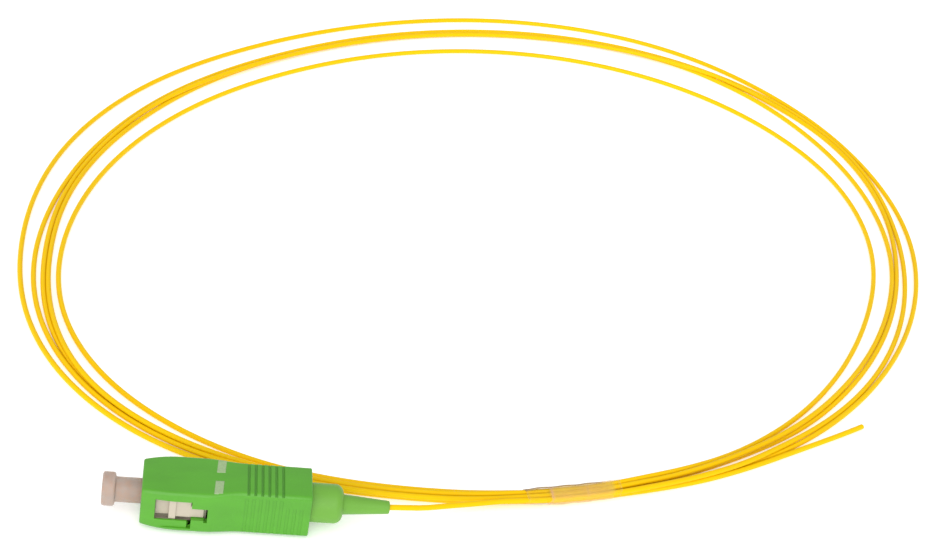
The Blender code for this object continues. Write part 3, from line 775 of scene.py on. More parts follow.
def across(start, end, half_width, low, high):
    """A box that reaches as far to one side of the plug's middle plane as to the other."""
    return (start, -half_width, low), (end, half_width, high)


def both_sides(low, high):
    """A box and its mirror image across the plug's middle plane."""
    return [(low, high), ((low[0], -high[1], low[2]), (high[0], -low[1], high[2]))]


def carve(thing, *steps):
    """Works (operation, tool) steps into the mesh and removes the tools."""
    for number, (operation, tool) in enumerate(steps):
        modifier = thing.modifiers.new(f"step_{number}", "BOOLEAN")
        modifier.operation = operation
        modifier.solver = "EXACT"
        modifier.object = tool
    evaluated = thing.evaluated_get(bpy.context.evaluated_depsgraph_get())
    mesh = bpy.data.meshes.new_from_object(evaluated)
    thing.modifiers.clear()
    thing.data = mesh
    mesh.name = thing.name
    for _, tool in steps:
        bpy.data.objects.remove(tool, do_unlink=True)
    tidy = bmesh.new()
    tidy.from_mesh(mesh)
    bmesh.ops.remove_doubles(tidy, verts=tidy.verts, dist=0.000002)
    bmesh.ops.dissolve_degenerate(tidy, edges=tidy.edges, dist=0.000002)
    tidy.to_mesh(mesh)
    tidy.free()
    return thing


def soften(thing, width):
    """Rounds the piece's hard edges a little."""
    bevel = thing.modifiers.new("soft_edges", "BEVEL")
    bevel.width = width
    bevel.segments = 2
    bevel.limit_method = "ANGLE"
    bevel.angle_limit = math.radians(HARD_EDGE)
    bevel.use_clamp_overlap = True
    bevel.harden_normals = True
    return smooth(thing, HARD_EDGE)


def strand(name, points, radius, material, resolution=4):
    """A round strand along the points."""
    curve = bpy.data.curves.new(name, "CURVE")
    curve.dimensions = "3D"
    curve.bevel_depth = radius
    curve.bevel_resolution = resolution
    curve.use_fill_caps = True
    spline = curve.splines.new("POLY")
    spline.points.add(len(points) - 1)
    for place, point in zip(spline.points, points):
        place.co = (*point, 1)
    spline.use_smooth = True
    return add_object(name, curve, material)


def as_mesh(thing):
    """The same piece as a mesh."""
    mesh = bpy.data.meshes.new_from_object(thing.evaluated_get(bpy.context.evaluated_depsgraph_get()))
    name = thing.name
    bpy.data.objects.remove(thing, do_unlink=True)
    return add_object(name, mesh)


def ease(share):
    share = np.clip(share, 0.0, 1.0)
    return share * share * (3 - 2 * share)


def end_rounding(back):
    """How far the housing's skin draws in near its two ends."""
    near = min(back, HOUSING_LENGTH - back)
    if near >= EDGE_ROUNDING:
        return 0.0
    return EDGE_ROUNDING - math.sqrt(EDGE_ROUNDING ** 2 - (EDGE_ROUNDING - near) ** 2)


def housing_half_width(back):
    narrowing = (HOUSING_WIDTH - GRIP_WIDTH) / 2 * float(ease((back - WAIST_START) / WAIST_LENGTH))
    lead_in = max(0.0, 1 - back / LEAD_IN_LENGTH) ** 2
    return HOUSING_WIDTH / 2 - narrowing - LEAD_IN_WIDTH_DROP * lead_in - end_rounding(back)


def housing_half_height(back):
    lead_in = max(0.0, 1 - back / LEAD_IN_LENGTH) ** 2
    rise = GRIP_RISE * float(ease((back - WAIST_START) / WAIST_LENGTH))
    return HOUSING_HEIGHT / 2 + rise - LEAD_IN_HEIGHT_DROP * lead_in - end_rounding(back)


def housing_stations():
    rounding = [EDGE_ROUNDING * (1 - math.cos(math.radians(22.5 * i))) for i in range(5)]
    stations = list(rounding)
    stations += [EDGE_ROUNDING + (LEAD_IN_LENGTH - EDGE_ROUNDING) * i / 10 for i in range(1, 11)]
    stations += [WAIST_START + WAIST_LENGTH * i / 20 for i in range(21)]
    stations += [HOUSING_LENGTH - near for near in reversed(rounding)]
    return stations


def groove_boxes(depth):
    half_height, half_grip = HOUSING_HEIGHT / 2 + GRIP_RISE, GRIP_WIDTH / 2
    rows = []
    for i in range(TOP_GROOVES):
        start = TOP_GROOVES_START + i * GROOVE_PITCH
        reach = half_grip + CUTTER_REACH
        for low_z, high_z in (
            (half_height - depth, half_height + CUTTER_REACH),
            (-half_height - CUTTER_REACH, -half_height + depth),
        ):
            rows.append(across(start, start + GROOVE_WIDTH, reach, low_z, high_z))
    for i in range(SIDE_GROOVES):
        start = SIDE_GROOVES_START + i * GROOVE_PITCH
        drop = SIDE_GROOVE_TALL_DROP if i < SIDE_GROOVES_TALL else SIDE_GROOVE_SHORT_DROP
        low = (start, half_grip - SIDE_GROOVE_DEPTH, -half_height + SIDE_GROOVE_FOOT)
        rows += both_sides(low, (start + SIDE_GROOVE_WIDTH, half_grip + CUTTER_REACH, half_height - drop))
    return rows


# The fibre's route

def oval_radius(angle):
    turn = angle - OVAL_TURNED
    across = np.hypot(OVAL_SHORT_RADIUS * np.cos(turn), OVAL_LONG_RADIUS * np.sin(turn))
    return OVAL_LONG_RADIUS * OVAL_SHORT_RADIUS / across


def through(places, values, wanted, period=None):
    """A smooth line through values at places, read off at the wanted places."""
    places, values = np.array(places, float), np.array(values, float)
    if period:
        places = np.concatenate([places[-3:] - period, places, places[:3] + period])
        values = np.concatenate([values[-3:], values, values[:3]])
        wanted = np.mod(wanted, period)
    slopes = np.gradient(values, places)
    k = np.clip(np.searchsorted(places, wanted, side="right") - 1, 0, len(places) - 2)
    span = places[k + 1] - places[k]
    t = (wanted - places[k]) / span
    return (
        values[k] * (2 * t ** 3 - 3 * t ** 2 + 1) + slopes[k] * span * (t ** 3 - 2 * t ** 2 + t)
        + values[k + 1] * (3 * t ** 2 - 2 * t ** 3) + slopes[k + 1] * span * (t ** 3 - t ** 2)
    )


def blurred(values, width):
    """Each value averaged with its neighbours along the fibre."""
    reach = int(3 * width)
    weights = np.exp(-0.5 * (np.arange(-reach, reach + 1) / width) ** 2)
    before = 2 * values[0] - values[reach:0:-1]
    after = 2 * values[-1] - values[-2:-reach - 2:-1]
    return np.convolve(np.concatenate([before, values, after]), weights / weights.sum(), mode="valid")


def lead_in_oval_terms(degrees):
    """The lead's distance outside the oval and its height, carried on a little into the tape."""
    route = np.array(LEAD_ROUTE)
    across, along = route[:, 0] - OVAL_MIDDLE[0], route[:, 1] - OVAL_MIDDLE[1]
    angles = np.degrees(np.arctan2(along, across)) % TURN
    outside = np.hypot(across, along) - oval_radius(np.radians(angles))
    places, inner = np.append(angles, LEAD_PAST), outside[-1] - LEAD_PAST_INWARD
    offsets = through(places, np.append(outside, [inner] * 2), degrees)
    return offsets, through(places, np.append(route[:, 2], [LEAD_PAST_HEIGHT] * 2), degrees)


def lane_plan(degrees, lead):
    """Where each part of the fibre appears on the floor, as a distance outside the oval."""
    lanes, end = np.array(LANES), np.array(FREE_END)
    changes = [TAPE_MIDDLE + TURN * k - LANE_CHANGE for k in range(len(LANE_OF_TURN) + 1)]
    steps = [ease((degrees - change) / (2 * LANE_CHANGE)) for change in changes]
    plan = (1 - steps[0]) * lead
    for k, lane in enumerate(LANE_OF_TURN):
        run = through(lanes[:, 0], lanes[:, lane] * MILLIMETRE, degrees, TURN)
        plan += (steps[k] - steps[k + 1]) * run
    past = degrees - TURN * len(LANE_OF_TURN)
    return plan + steps[-1] * through(end[:, 0], end[:, 1] * MILLIMETRE, past)


def first_heights(degrees):
    """Heights to start from, which settle which turn lies on top where they crowd together."""
    heights = np.full(len(degrees), FIBRE_RADIUS)
    for k in range(UPPER_TURNS):
        middle = TAPE_MIDDLE + TURN * k
        rise = ease((degrees - (middle - UPPER_FROM)) / UPPER_RAMP)
        heights += UPPER_LIFT * rise * (1 - ease((degrees - (middle + UPPER_TO)) / UPPER_RAMP))
    lap, turn = degrees % TURN, np.floor((degrees - TAPE_MIDDLE) / TURN)
    for number, low, high in LIFTED_STRETCHES:
        heights += np.where((turn == number) & (lap > low) & (lap < high), STRETCH_LIFT, 0)
    return heights


def keep_apart(offsets, heights, ground, apart):
    """Pushes strands that share an angle round the oval to at least a diameter from each other."""
    for laps in range(1, len(LANE_OF_TURN) + 1):
        shift = TURN * laps
        across, up = offsets[shift:] - offsets[:-shift], heights[shift:] - heights[:-shift]
        distance = np.hypot(across, up) + 1e-9
        push = np.maximum(apart - distance, 0) / distance * 0.5
        offsets[:-shift] -= push * across
        heights[:-shift] -= push * up
        offsets[shift:] += push * across
        heights[shift:] += push * up
    np.maximum(heights, ground, out=heights)


@lru_cache(maxsize=None)
def settled_fibre():
    """The fibre's centre line: degrees round the oval, distances outside it and heights. Each turn is
    drawn towards its lane, smoothed, let down on to the floor and kept a diameter from the others."""
    degrees = np.arange(LEAD_DEGREES, END_DEGREES + 1, dtype=float)
    angles = np.radians(degrees)
    # a strand that lies higher appears further from the camera by this much a metre of height
    reach = oval_radius(angles)
    ahead = OVAL_MIDDLE[0] + reach * np.cos(angles) - EYE[0]
    aside = OVAL_MIDDLE[1] + reach * np.sin(angles) - EYE[1]
    slope = (ahead * np.cos(angles) + aside * np.sin(angles)) / EYE[2]
    lead_offsets, lead_heights = lead_in_oval_terms(degrees)
    plan = lane_plan(degrees, lead_offsets + (lead_heights - FIBRE_RADIUS) * slope)
    held = 1 - ease((degrees - LEAD_HELD_TO) / LEAD_FREED_OVER)
    heights = first_heights(degrees) * (1 - held) + lead_heights * held
    offsets = plan - (heights - FIBRE_RADIUS) * slope
    from_tape = np.abs((degrees - TAPE_MIDDLE + TURN / 2) % TURN - TURN / 2)
    grip = np.where(from_tape < TAPE_GRIP_SPAN, TAPE_GRIP_PULL, 1.0)
    ground = FIBRE_RADIUS + FILM_UNDER * (1 - ease((from_tape - FILM_UNDER_SPAN) / FILM_UNDER_SPAN))
    apart = 2 * FIBRE_RADIUS + STRAND_GAP
    for number in range(SETTLING_ROUNDS):
        late = number / SETTLING_ROUNDS
        pull = grip * (PULL_FIRST * (1 - late) + PULL_LAST)
        offsets = offsets + pull * (plan - offsets - (heights - FIBRE_RADIUS) * slope)
        heights = heights - SINK_STEP
        width = BLUR_FIRST if late < BLUR_CHANGE else BLUR_LAST
        offsets = (offsets + blurred(offsets, width)) / 2
        heights = (heights + blurred(heights, width)) / 2
        offsets += held * (lead_offsets - offsets)
        heights += held * (lead_heights - heights)
        np.maximum(heights, ground, out=heights)
        for _ in range(PUSHES_FIRST if late < PUSHES_CHANGE else PUSHES_LAST):
            keep_apart(offsets, heights, ground, apart)
    return degrees, offsets, heights


def oval_point(degrees, offset, height):
    angle = math.radians(degrees)
    radius = float(oval_radius(angle)) + offset
    return Vector((
        OVAL_MIDDLE[0] + radius * math.cos(angle), OVAL_MIDDLE[1] + radius * math.sin(angle), height
    ))


def fibre_points():
    """The whole fibre from inside the boot to its cut end."""
    points = [on_plug(BOOT_BACK - depth, 0, 0) for depth in STRAND_DEPTHS]
    points.append(Vector(LEAD_ROUTE[0]))
    for degrees, offset, height in zip(*settled_fibre()):
        if degrees > LEAD_DEGREES:
            points.append(oval_point(degrees, offset, height))
    return points


# The tape's shape

def strands_at(degrees):
    """Each strand's (offset, height) where the tape crosses that angle."""
    all_degrees, offsets, heights = settled_fibre()
    found = []
    for lap in range(len(LANE_OF_TURN) + 1):
        where = degrees + TURN * lap
        found.append((np.interp(where, all_degrees, offsets), np.interp(where, all_degrees, heights)))
    return found


def film_reach(strands, steps, room):
    """How far the film stands from the origin of the section, by the way it faces."""
    facing = np.arange(steps) / steps * math.tau
    reach = np.full(steps, -1.0)
    for offset, height in strands:
        reach = np.maximum(reach, offset * np.cos(facing) + height * np.sin(facing))
    weights = np.array([1, 2, 3, 2, 1]) / 9
    wrapped = np.concatenate([reach[-2:], reach, reach[:2]])
    return np.convolve(wrapped, weights, mode="valid") + FIBRE_RADIUS + room


def film_loops(slack, thickness):
    """Rows of points along the film as it winds round the bundle a little more than once."""
    count = round(TAPE_STEPS * TAPE_WRAP)
    facing = np.arange(TAPE_STEPS) / TAPE_STEPS * math.tau
    loops = []
    for station in range(TAPE_STATIONS + 1):
        share = station / TAPE_STATIONS
        loop = []
        for i in range(count + 1):
            turn = math.tau * i / TAPE_STEPS + WRAP_START
            slanted = TAPE_TO - TAPE_SLANT * 0.5 * (1 + math.cos(turn - SLANT_START))
            degrees = TAPE_FROM + END_WAVER * math.sin(turn * 2) + (slanted - TAPE_FROM) * share
            swell = math.sin(share * SHORT_WAVE + turn * 2) * math.sin(share * LONG_WAVE + WAVE_SHIFT)
            layer = OVERLAP_RISE * thickness * float(ease((i / TAPE_STEPS - OVERLAP_FROM) / OVERLAP_RAMP))
            bulge = ease(share / BULGE_RISE) * (1 - ease((share - BULGE_FALL_FROM) / BULGE_FALL))
            wave = SLACK_LEAST + SLACK_WAVE * (0.5 + 0.5 * swell)
            room = slack * wave * (1 + BULGE * float(bulge)) + layer
            reach = film_reach(strands_at(degrees), TAPE_STEPS, room)
            closed = np.concatenate([reach[-1:], reach, reach[:1]])
            slope = np.gradient(closed)[1:-1] / (math.tau / TAPE_STEPS)
            at = turn % math.tau
            out = np.interp(at, facing, reach, period=math.tau)
            along = np.interp(at, facing, slope, period=math.tau)
            offset = out * math.cos(at) - along * math.sin(at)
            height = out * math.sin(at) + along * math.cos(at)
            loop.append(oval_point(degrees, offset, max(height, FILM_FLOOR)))
        loops.append(loop)
    return loops


# Operators

def finished(piece, body, slot, *nodes):
    """Hands a finished piece to the frame: attaches it to its body and hides the solids it stands for. The
    slot is not used.
    """
    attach(piece, body)
    if nodes:
        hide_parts(*nodes)
    return piece


class PIGTAIL_OT_fibre(bpy.types.Operator):
    """Lay the yellow fibre in its turns"""
    bl_idname = "pigtail.fibre"
    bl_label = "Lay fibre"

    def execute(self, context):
        look = context.scene.pigtail_fibre
        yellow = buffer_finish(look.buffer_yellow)
        fibre = strand("buffered_fibre", fibre_points(), look.radius, yellow)
        finished(fibre, "plug", "yellow_buffer", "fibre_lead", "fibre_coil", "fibre_tail")
        start, end = FLANGE_TAIL_BACK + FERRULE_TRAVEL + SEAT_GAP, BOOT_BACK - STRAND_DEPTHS[0]
        inside = [on_plug(start, 0, 0), on_plug(end, 0, 0)]
        hidden = strand("fibre_in_plug", inside, look.radius, yellow)
        finished(hidden, "plug", "yellow_buffer", "fibre_inside")
        return {"FINISHED"}


class PIGTAIL_OT_tape(bpy.types.Operator):
    bl_idname = "pigtail.tape"
    bl_label = "Wrap tape"

    def execute(self, context):
        look = context.scene.pigtail_tape
        loops = film_loops(look.slack, look.thickness)
        tape = skin("tape_film_wrap", loops, film_finish(look.film_tint), closed=False)
        for name, rule in (("rim", self.rim), ("double", self.double), ("fold", self.fold)):
            self.mark(tape, name, len(loops[0]), rule)
        smooth(tape, 80)
        film = tape.modifiers.new("film", "SOLIDIFY")
        film.thickness = look.thickness
        film.offset = 1.0
        finished(tape, "plug", "tape_film", "tape_wrap")
        return {"FINISHED"}

    def mark(self, tape, name, row, rule):
        """Stores a value between 0 and 1 on each point by its share of the length and its turn."""
        attribute = tape.data.attributes.new(name, "FLOAT", "POINT")
        for index, value in enumerate(attribute.data):
            station, step = divmod(index, row)
            value.value = min(1.0, max(0.0, rule(station / TAPE_STATIONS, step / TAPE_STEPS)))

    def rim(self, share, turn):
        """Pale lines at the film's ends, its second layer's front edge, a cross seam and the overlap."""
        distances = (
            (END_LINE, min(share, 1 - share)), (LAYER_LINE, abs(share - DOUBLE_FROM)),
            (SEAM_LINE, abs(share - CROSS_SEAM)), (OVERLAP_LINE, TAPE_WRAP - turn),
        )
        return max(strength - distance / fade for (strength, fade), distance in distances)

    def double(self, share, turn):
        """Where the film lies in two layers."""
        over = ease((share - DOUBLE_FROM) / DOUBLE_RISE) * (1 - ease((share - DOUBLE_TO) / DOUBLE_FALL))
        return float(over)

    def fold(self, share, turn):
        """Painted shade: a dark line along the film's far upper edge."""
        facing = (turn + WRAP_START / math.tau) % 1.0
        near_line = 1 - max(0.0, abs(facing - SHADE_LINE_FACING) - SHADE_LINE_HALF_WIDTH) / SHADE_LINE_FADE
        return near_line * (1 - float(ease((share - SHADE_LINE_TO) / SHADE_LINE_END_FADE)))


class PIGTAIL_OT_housing(bpy.types.Operator):
    """Mould the green sliding housing and print its two pale bars"""
    bl_idname = "pigtail.housing"
    bl_label = "Mould housing"

    def execute(self, context):
        look = context.scene.pigtail_plug
        loops = []
        for back in housing_stations():
            outline = rounded_section(housing_half_width(back), housing_half_height(back), HOUSING_CORNER)
            loops.append([on_plug(back, y, z) for y, z in outline])
        housing = skin("housing_shell", loops, housing_finish(look.housing_green))
        half_height, outside = HOUSING_HEIGHT / 2, HOUSING_WIDTH / 2 + CUTTER_REACH
        key_low, key_high = -half_height - KEY_HEIGHT, -half_height + HOUSING_FLOOR_WALL / 2
        key = across(KEY_START, KEY_START + KEY_LENGTH, KEY_WIDTH / 2, key_low, key_high)
        window = across(WINDOW_START, WINDOW_END, outside, WINDOW_LOW, WINDOW_HIGH)
        slot_end = WINDOW_END + SLOT_LENGTH
        slot = across(WINDOW_END - JOIN_DEPTH, slot_end, outside, SLOT_LOW, SLOT_HIGH)
        lip_back = HOUSING_WIDTH / 2 - POCKET_DEPTH - LIP_THICKNESS
        pockets = both_sides(
            (WINDOW_START, HOUSING_WIDTH / 2 - POCKET_DEPTH, POCKET_LOW),
            (WINDOW_END, outside, WINDOW_LOW + JOIN_DEPTH),
        )
        hollows = both_sides(
            (WINDOW_START, CAVITY_HALF_WIDTH - JOIN_DEPTH, HOLLOW_LOW),
            (WINDOW_END, lip_back, WINDOW_LOW + JOIN_DEPTH),
        )
        notches = both_sides(
            (WINDOW_END - NOTCH_LENGTH, HOUSING_WIDTH / 2 - NOTCH_DEPTH, POCKET_LOW),
            (WINDOW_END, outside, WINDOW_LOW + JOIN_DEPTH),
        ) + both_sides(
            (slot_end - SLOT_NOTCH_LENGTH, CAVITY_HALF_WIDTH, SLOT_LOW - SLOT_NOTCH_DROP),
            (slot_end, outside, SLOT_LOW + JOIN_DEPTH),
        )
        cavity = straight_block(
            "cavity", -CUTTER_REACH, CAVITY_DEPTH, CAVITY_HALF_WIDTH, CAVITY_HALF_HEIGHT, CAVITY_CORNER
        )
        bore = rod("bore", HOUSING_BORE_RADIUS, CAVITY_DEPTH - CUTTER_REACH, HOUSING_LENGTH + CUTTER_REACH)
        cuts = [[window], [slot], pockets, hollows, notches, groove_boxes(look.groove_depth)]
        carve(
            housing, (ADD, boxes(key)), (CUT, cavity), (CUT, bore), *[(CUT, boxes(*rows)) for rows in cuts]
        )
        finished(soften(housing, look.edge_softness), "housing", "housing_green", "outer_housing")
        ink = print_finish(look.mark_grey)
        for name, side in (("printed_bar_near", -1), ("printed_bar_far", 1)):
            finished(self.bar(name, side, ink), "housing", "housing_green")
        return {"FINISHED"}

    def bar(self, name, side, ink):
        """One bar, laid over the top face and round its rounded edge."""
        loops = []
        for i in range(MARK_ROWS + 1):
            back = MARK_START + (MARK_END - MARK_START) * i / MARK_ROWS
            half_width, half_height = housing_half_width(back), housing_half_height(back)
            outer = min(MARK_OUTER, half_width - MARK_EDGE_MARGIN)
            loop = []
            for k in range(MARK_STEPS + 1):
                y = MARK_INNER + (outer - MARK_INNER) * k / MARK_STEPS
                past = max(0.0, y - (half_width - HOUSING_CORNER))
                z = half_height - HOUSING_CORNER + math.sqrt(HOUSING_CORNER ** 2 - past ** 2)
                loop.append(on_plug(back + MARK_LEAN * side * y, side * y, z + MARK_SKIN / 2))
            loops.append(loop)
        bar = smooth(skin(name, loops, ink, closed=False), 60)
        film = bar.modifiers.new("ink", "SOLIDIFY")
        film.thickness = MARK_SKIN
        film.offset = 0.0
        return bar


class PIGTAIL_OT_frame(bpy.types.Operator):
    """Mould the beige frame inside the housing"""
    bl_idname = "pigtail.frame"
    bl_label = "Mould frame"

    def execute(self, context):
        look = context.scene.pigtail_plug
        block_end = FRAME_START + FRAME_BLOCK_LENGTH
        block = straight_block(
            "inner_frame", FRAME_START, block_end, FRAME_HALF_WIDTH, FRAME_HALF_HEIGHT, FRAME_CORNER,
            frame_finish(look.frame_beige),
        )
        rib_end, top = RIB_START + RIB_WIDTH, WINDOW_HIGH - CATCH_MARGIN
        catches = (
            (RIB_START, rib_end, RIB_REACH, WINDOW_LOW + CATCH_MARGIN, top),
            (WINDOW_START + CATCH_MARGIN, RIB_START + JOIN_DEPTH, FRONT_PAD_REACH, PAD_LOW, top),
            (rib_end - JOIN_DEPTH, WINDOW_END - CATCH_MARGIN, REAR_PAD_REACH, PAD_LOW, top),
            (WINDOW_END - JOIN_DEPTH, WINDOW_END + TONGUE_LENGTH, TONGUE_REACH, TONGUE_LOW,
             SLOT_HIGH - CATCH_MARGIN),
        )
        under_pads = both_sides(
            (FRAME_START - CUTTER_REACH, FRAME_HALF_WIDTH - UNDERCUT, HOLLOW_LOW),
            (WINDOW_END, FRAME_HALF_WIDTH + CUTTER_REACH, PAD_LOW),
        )
        barrel = rod("barrel", BARREL_RADIUS, block_end - JOIN_DEPTH, FRAME_END)
        steps = [(ADD, barrel), (CUT, boxes(*under_pads))]
        for start, end, reach, low, high in catches:
            steps.append((ADD, boxes(across(start, end, FRAME_HALF_WIDTH + reach, low, high))))
        front, back = FRAME_START - CUTTER_REACH, FRAME_END + CUTTER_REACH
        narrow = FERRULE_RADIUS + BORE_GAP
        bore = [
            (0, front), (FRAME_BORE_RADIUS, front), (FRAME_BORE_RADIUS, PARTITION_FRONT),
            (narrow, PARTITION_FRONT), (narrow, PARTITION_BACK),
            (FRAME_BORE_RADIUS, PARTITION_BACK), (FRAME_BORE_RADIUS, back), (0, back),
        ]
        carve(block, *steps, (CUT, turned("frame_bore", bore)))
        finished(soften(block, look.edge_softness), "plug", "frame_beige", "plug_frame")
        return {"FINISHED"}


class PIGTAIL_OT_ferrule(bpy.types.Operator):
    """Grind the ceramic ferrule and turn its flange"""
    bl_idname = "pigtail.ferrule"
    bl_label = "Make ferrule"

    def execute(self, context):
        tip, face_radius = -FERRULE_STANDS_OUT, FERRULE_RADIUS - FERRULE_CHAMFER
        profile = [(0, tip), (face_radius, tip), (FERRULE_RADIUS, tip + FERRULE_CHAMFER),
                   (FERRULE_RADIUS, FERRULE_BACK), (0, FERRULE_BACK)]
        ceramic = ceramic_finish(SLOT_COLOURS["zirconia"])
        ferrule = turned("ceramic_ferrule", eased(profile, FERRULE_ROUNDING), ceramic)
        reach = FERRULE_RADIUS * 2
        slope = boxes(across(-reach, 0, reach, -reach, reach))
        about = on_plug(0, 0, 0)
        tilt = Matrix.Rotation(-FERRULE_TILT, 4, "Y")
        shift = Matrix.Translation((tip + face_radius * math.tan(FERRULE_TILT), 0, 0))
        slope.data.transform(shift @ Matrix.Translation(about) @ tilt @ Matrix.Translation(-about))
        carve(ferrule, (CUT, slope))
        finished(soften(ferrule, FERRULE_EDGE), "ferrule", "zirconia", "ferrule")
        socket_radius, socket_back = FERRULE_RADIUS + BORE_GAP, FERRULE_BACK + SEAT_GAP
        profile = [
            (FLANGE_RADIUS, FLANGE_FRONT), (FLANGE_RADIUS, FLANGE_BACK), (FLANGE_TAIL_RADIUS, FLANGE_BACK),
            (FLANGE_TAIL_RADIUS, FLANGE_TAIL_BACK), (FLANGE_BORE_RADIUS, FLANGE_TAIL_BACK),
            (FLANGE_BORE_RADIUS, socket_back), (socket_radius, socket_back), (socket_radius, FLANGE_FRONT),
        ]
        metal = plated_finish(SLOT_COLOURS["nickel_plate"])
        flange = smooth(turned("turned_flange", eased(profile, TURNED_ROUNDING), metal))
        finished(flange, "ferrule", "nickel_plate", "ferrule_flange")
        return {"FINISHED"}


class PIGTAIL_OT_spring(bpy.types.Operator):
    """Wind the spring and turn the stop ring behind it"""
    bl_idname = "pigtail.spring"
    bl_label = "Make spring"

    def execute(self, context):
        metal = plated_finish(SLOT_COLOURS["nickel_plate"])
        start = FLANGE_BACK + SEAT_GAP / 2 + SPRING_WIRE_RADIUS
        end = STOP_FRONT - SEAT_GAP / 2 - SPRING_WIRE_RADIUS
        steps_a_turn = 28
        steps = SPRING_TURNS * steps_a_turn
        points = []
        for i in range(steps + 1):
            angle, back = math.tau * i / steps_a_turn, start + (end - start) * i / steps
            points.append(on_plug(back, SPRING_RADIUS * math.cos(angle), SPRING_RADIUS * math.sin(angle)))
        spring = as_mesh(strand("coil_spring", points, SPRING_WIRE_RADIUS, metal, 3))
        finished(spring, "plug", "nickel_plate", "spring")
        length = end - start
        tuple(on_plug(end, 0, 0))
        (length - FERRULE_TRAVEL) / length
        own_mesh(spring)
        insert_radius = FRAME_BORE_RADIUS - BORE_GAP
        profile = [
            (insert_radius, STOP_FRONT), (insert_radius, STOP_FLANGE_FRONT),
            (STOP_FLANGE_RADIUS, STOP_FLANGE_FRONT), (STOP_FLANGE_RADIUS, STOP_FLANGE_BACK),
            (STOP_TAIL_RADIUS, STOP_FLANGE_BACK), (STOP_TAIL_RADIUS, STOP_BACK),
            (STOP_BORE_RADIUS, STOP_BACK), (STOP_BORE_RADIUS, STOP_FRONT),
        ]
        ring = smooth(turned("turned_stop_ring", eased(profile, TURNED_ROUNDING), metal))
        finished(ring, "plug", "nickel_plate", "stop_ring")
        return {"FINISHED"}


class PIGTAIL_OT_boot(bpy.types.Operator):
    """Mould the boot with its round collar and tapering tail"""
    bl_idname = "pigtail.boot"
    bl_label = "Mould boot"

    def execute(self, context):
        socket_radius, socket_back = STOP_TAIL_RADIUS + BORE_GAP, STOP_BACK + SEAT_GAP
        dome = (COLLAR_RADIUS - COLLAR_ROUNDING, COLLAR_BACK - COLLAR_ROUNDING)
        lip = (TAIL_END_RADIUS - TAIL_END_ROUNDING, BOOT_BACK - TAIL_END_ROUNDING)
        profile = [
            (COLLAR_RADIUS - COLLAR_EDGE, COLLAR_FRONT), (COLLAR_RADIUS, COLLAR_FRONT + COLLAR_EDGE),
        ]
        profile += arc(dome, COLLAR_ROUNDING, 0, 84, 15)
        profile += [(TAIL_ROOT_RADIUS + out, COLLAR_BACK + back) for out, back in BOOT_FILLET]
        profile += arc(lip, TAIL_END_ROUNDING, 0, 90, 6)
        profile += [
            (BOOT_BORE_RADIUS + BOOT_MOUTH_EDGE, BOOT_BACK),
            (BOOT_BORE_RADIUS, BOOT_BACK - BOOT_MOUTH_EDGE), (BOOT_BORE_RADIUS, socket_back),
            (socket_radius, socket_back), (socket_radius, COLLAR_FRONT),
        ]
        boot = turned("soft_boot", profile, boot_finish(context.scene.pigtail_plug.boot_green), 96)
        finished(smooth(boot), "plug", "boot_green", "boot")
        return {"FINISHED"}


class PIGTAIL_OT_cap(bpy.types.Operator):
    """Mould the translucent dust cap"""
    bl_idname = "pigtail.cap"
    bl_label = "Mould cap"

    def execute(self, context):
        tip, rounding = -CAP_STANDS_OUT, CAP_FLANGE_ROUNDING
        flange_back, bore_radius = tip + CAP_FLANGE_LENGTH, FERRULE_RADIUS + BORE_GAP
        bore_bottom = -FERRULE_STANDS_OUT - SEAT_GAP
        profile = [(0, tip)]
        profile += arc((CAP_FLANGE_RADIUS - rounding, tip + rounding), rounding, -90, 0, 9)
        profile += arc((CAP_FLANGE_RADIUS - rounding, flange_back - rounding), rounding, 0, 84, 9)
        profile += [(CAP_BODY_RADIUS + out, flange_back + back) for out, back in CAP_FILLET]
        profile += [
            (CAP_BODY_RADIUS, CAP_INSERT_DEPTH - CAP_END_EDGE),
            (CAP_BODY_RADIUS - CAP_END_EDGE, CAP_INSERT_DEPTH),
            (bore_radius + CAP_MOUTH_EDGE, CAP_INSERT_DEPTH),
            (bore_radius, CAP_INSERT_DEPTH - CAP_MOUTH_EDGE), (bore_radius, bore_bottom), (0, bore_bottom),
        ]
        cap = turned("cover_cap", profile, cap_finish(context.scene.pigtail_plug.cap_tint), 96)
        finished(smooth(cap), "cap", "cap_plastic", "dust_cap")
        return {"FINISHED"}


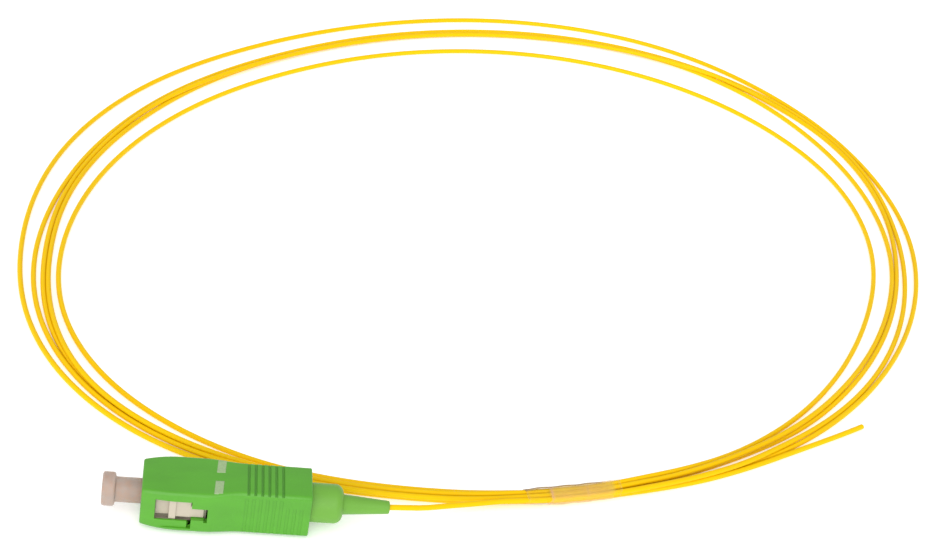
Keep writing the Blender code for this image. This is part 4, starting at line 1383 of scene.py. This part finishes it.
class PIGTAIL_OT_stage(bpy.types.Operator):
    """Set up the camera, the floor and the light"""
    bl_idname = "pigtail.stage"
    bl_label = "Set stage"

    def execute(self, context):
        look = context.scene.pigtail_stage
        lens = bpy.data.cameras.new("photo_camera")
        lens.sensor_fit = "HORIZONTAL"
        lens.sensor_width = SENSOR_WIDTH
        lens.lens = look.lens
        lens.clip_start = NEAREST_SEEN
        camera = add_object("photo_camera", lens)
        forward = Vector(VIEW_FORWARD).normalized()
        up = Vector(VIEW_RIGHT).cross(forward).normalized()
        axes = Matrix((forward.cross(up), up, -forward)).transposed().to_4x4()
        camera.matrix_world = Matrix.Translation(EYE) @ axes
        context.scene.camera = camera
        shape = bmesh.new()
        bmesh.ops.create_grid(shape, x_segments=4, y_segments=4, size=FLOOR_REACH)
        floor = mesh_object("studio_floor", shape, floor_finish(look.floor_white))
        room = bpy.data.worlds.new("studio_room")
        room.use_nodes = True
        back = room.node_tree.nodes["Background"]
        back.inputs["Color"].default_value = (1.0, 1.0, 1.0, 1.0)
        back.inputs["Strength"].default_value = look.room_strength
        context.scene.world = room
        key = bpy.data.lights.new("key_light", "SUN")
        key.energy = look.key_strength
        key.angle = SUN_SOFTNESS
        sun = add_object("key_light", key)
        sun.rotation_euler = SUN_TURNED
        context.scene.view_settings.view_transform = "Standard"
        return {"FINISHED"}


OPERATORS = (
    PIGTAIL_OT_stage, PIGTAIL_OT_fibre, PIGTAIL_OT_tape, PIGTAIL_OT_housing, PIGTAIL_OT_frame,
    PIGTAIL_OT_ferrule, PIGTAIL_OT_spring, PIGTAIL_OT_boot, PIGTAIL_OT_cap,
)
SETTINGS = {
    "pigtail_plug": PlugSettings, "pigtail_fibre": FibreSettings,
    "pigtail_tape": TapeSettings, "pigtail_stage": StageSettings,
}


class PIGTAIL_PT_pieces(bpy.types.Panel):
    """Lists the settings and the pieces that can be made"""
    bl_idname = "PIGTAIL_PT_pieces"
    bl_label = "Fibre pigtail"
    bl_space_type = "VIEW_3D"
    bl_region_type = "UI"
    bl_category = "Pigtail"

    def draw(self, context):
        for name, group in SETTINGS.items():
            column = self.layout.column(align=True)
            for setting in group.__annotations__:
                column.prop(getattr(context.scene, name), setting)
        for operator in OPERATORS:
            self.layout.operator(operator.bl_idname)


def register():
    for name, group in SETTINGS.items():
        bpy.utils.register_class(group)
        setattr(bpy.types.Scene, name, PointerProperty(type=group))
    for thing in (*OPERATORS, PIGTAIL_PT_pieces):
        bpy.utils.register_class(thing)


def unregister():
    for thing in (PIGTAIL_PT_pieces, *reversed(OPERATORS)):
        bpy.utils.unregister_class(thing)
    for name, group in SETTINGS.items():
        delattr(bpy.types.Scene, name)
        bpy.utils.unregister_class(group)


def main():
    register()
    for operator in OPERATORS:
        section, name = operator.bl_idname.split(".")
        getattr(getattr(bpy.ops, section), name)()


if __name__ == "__main__":
    main()
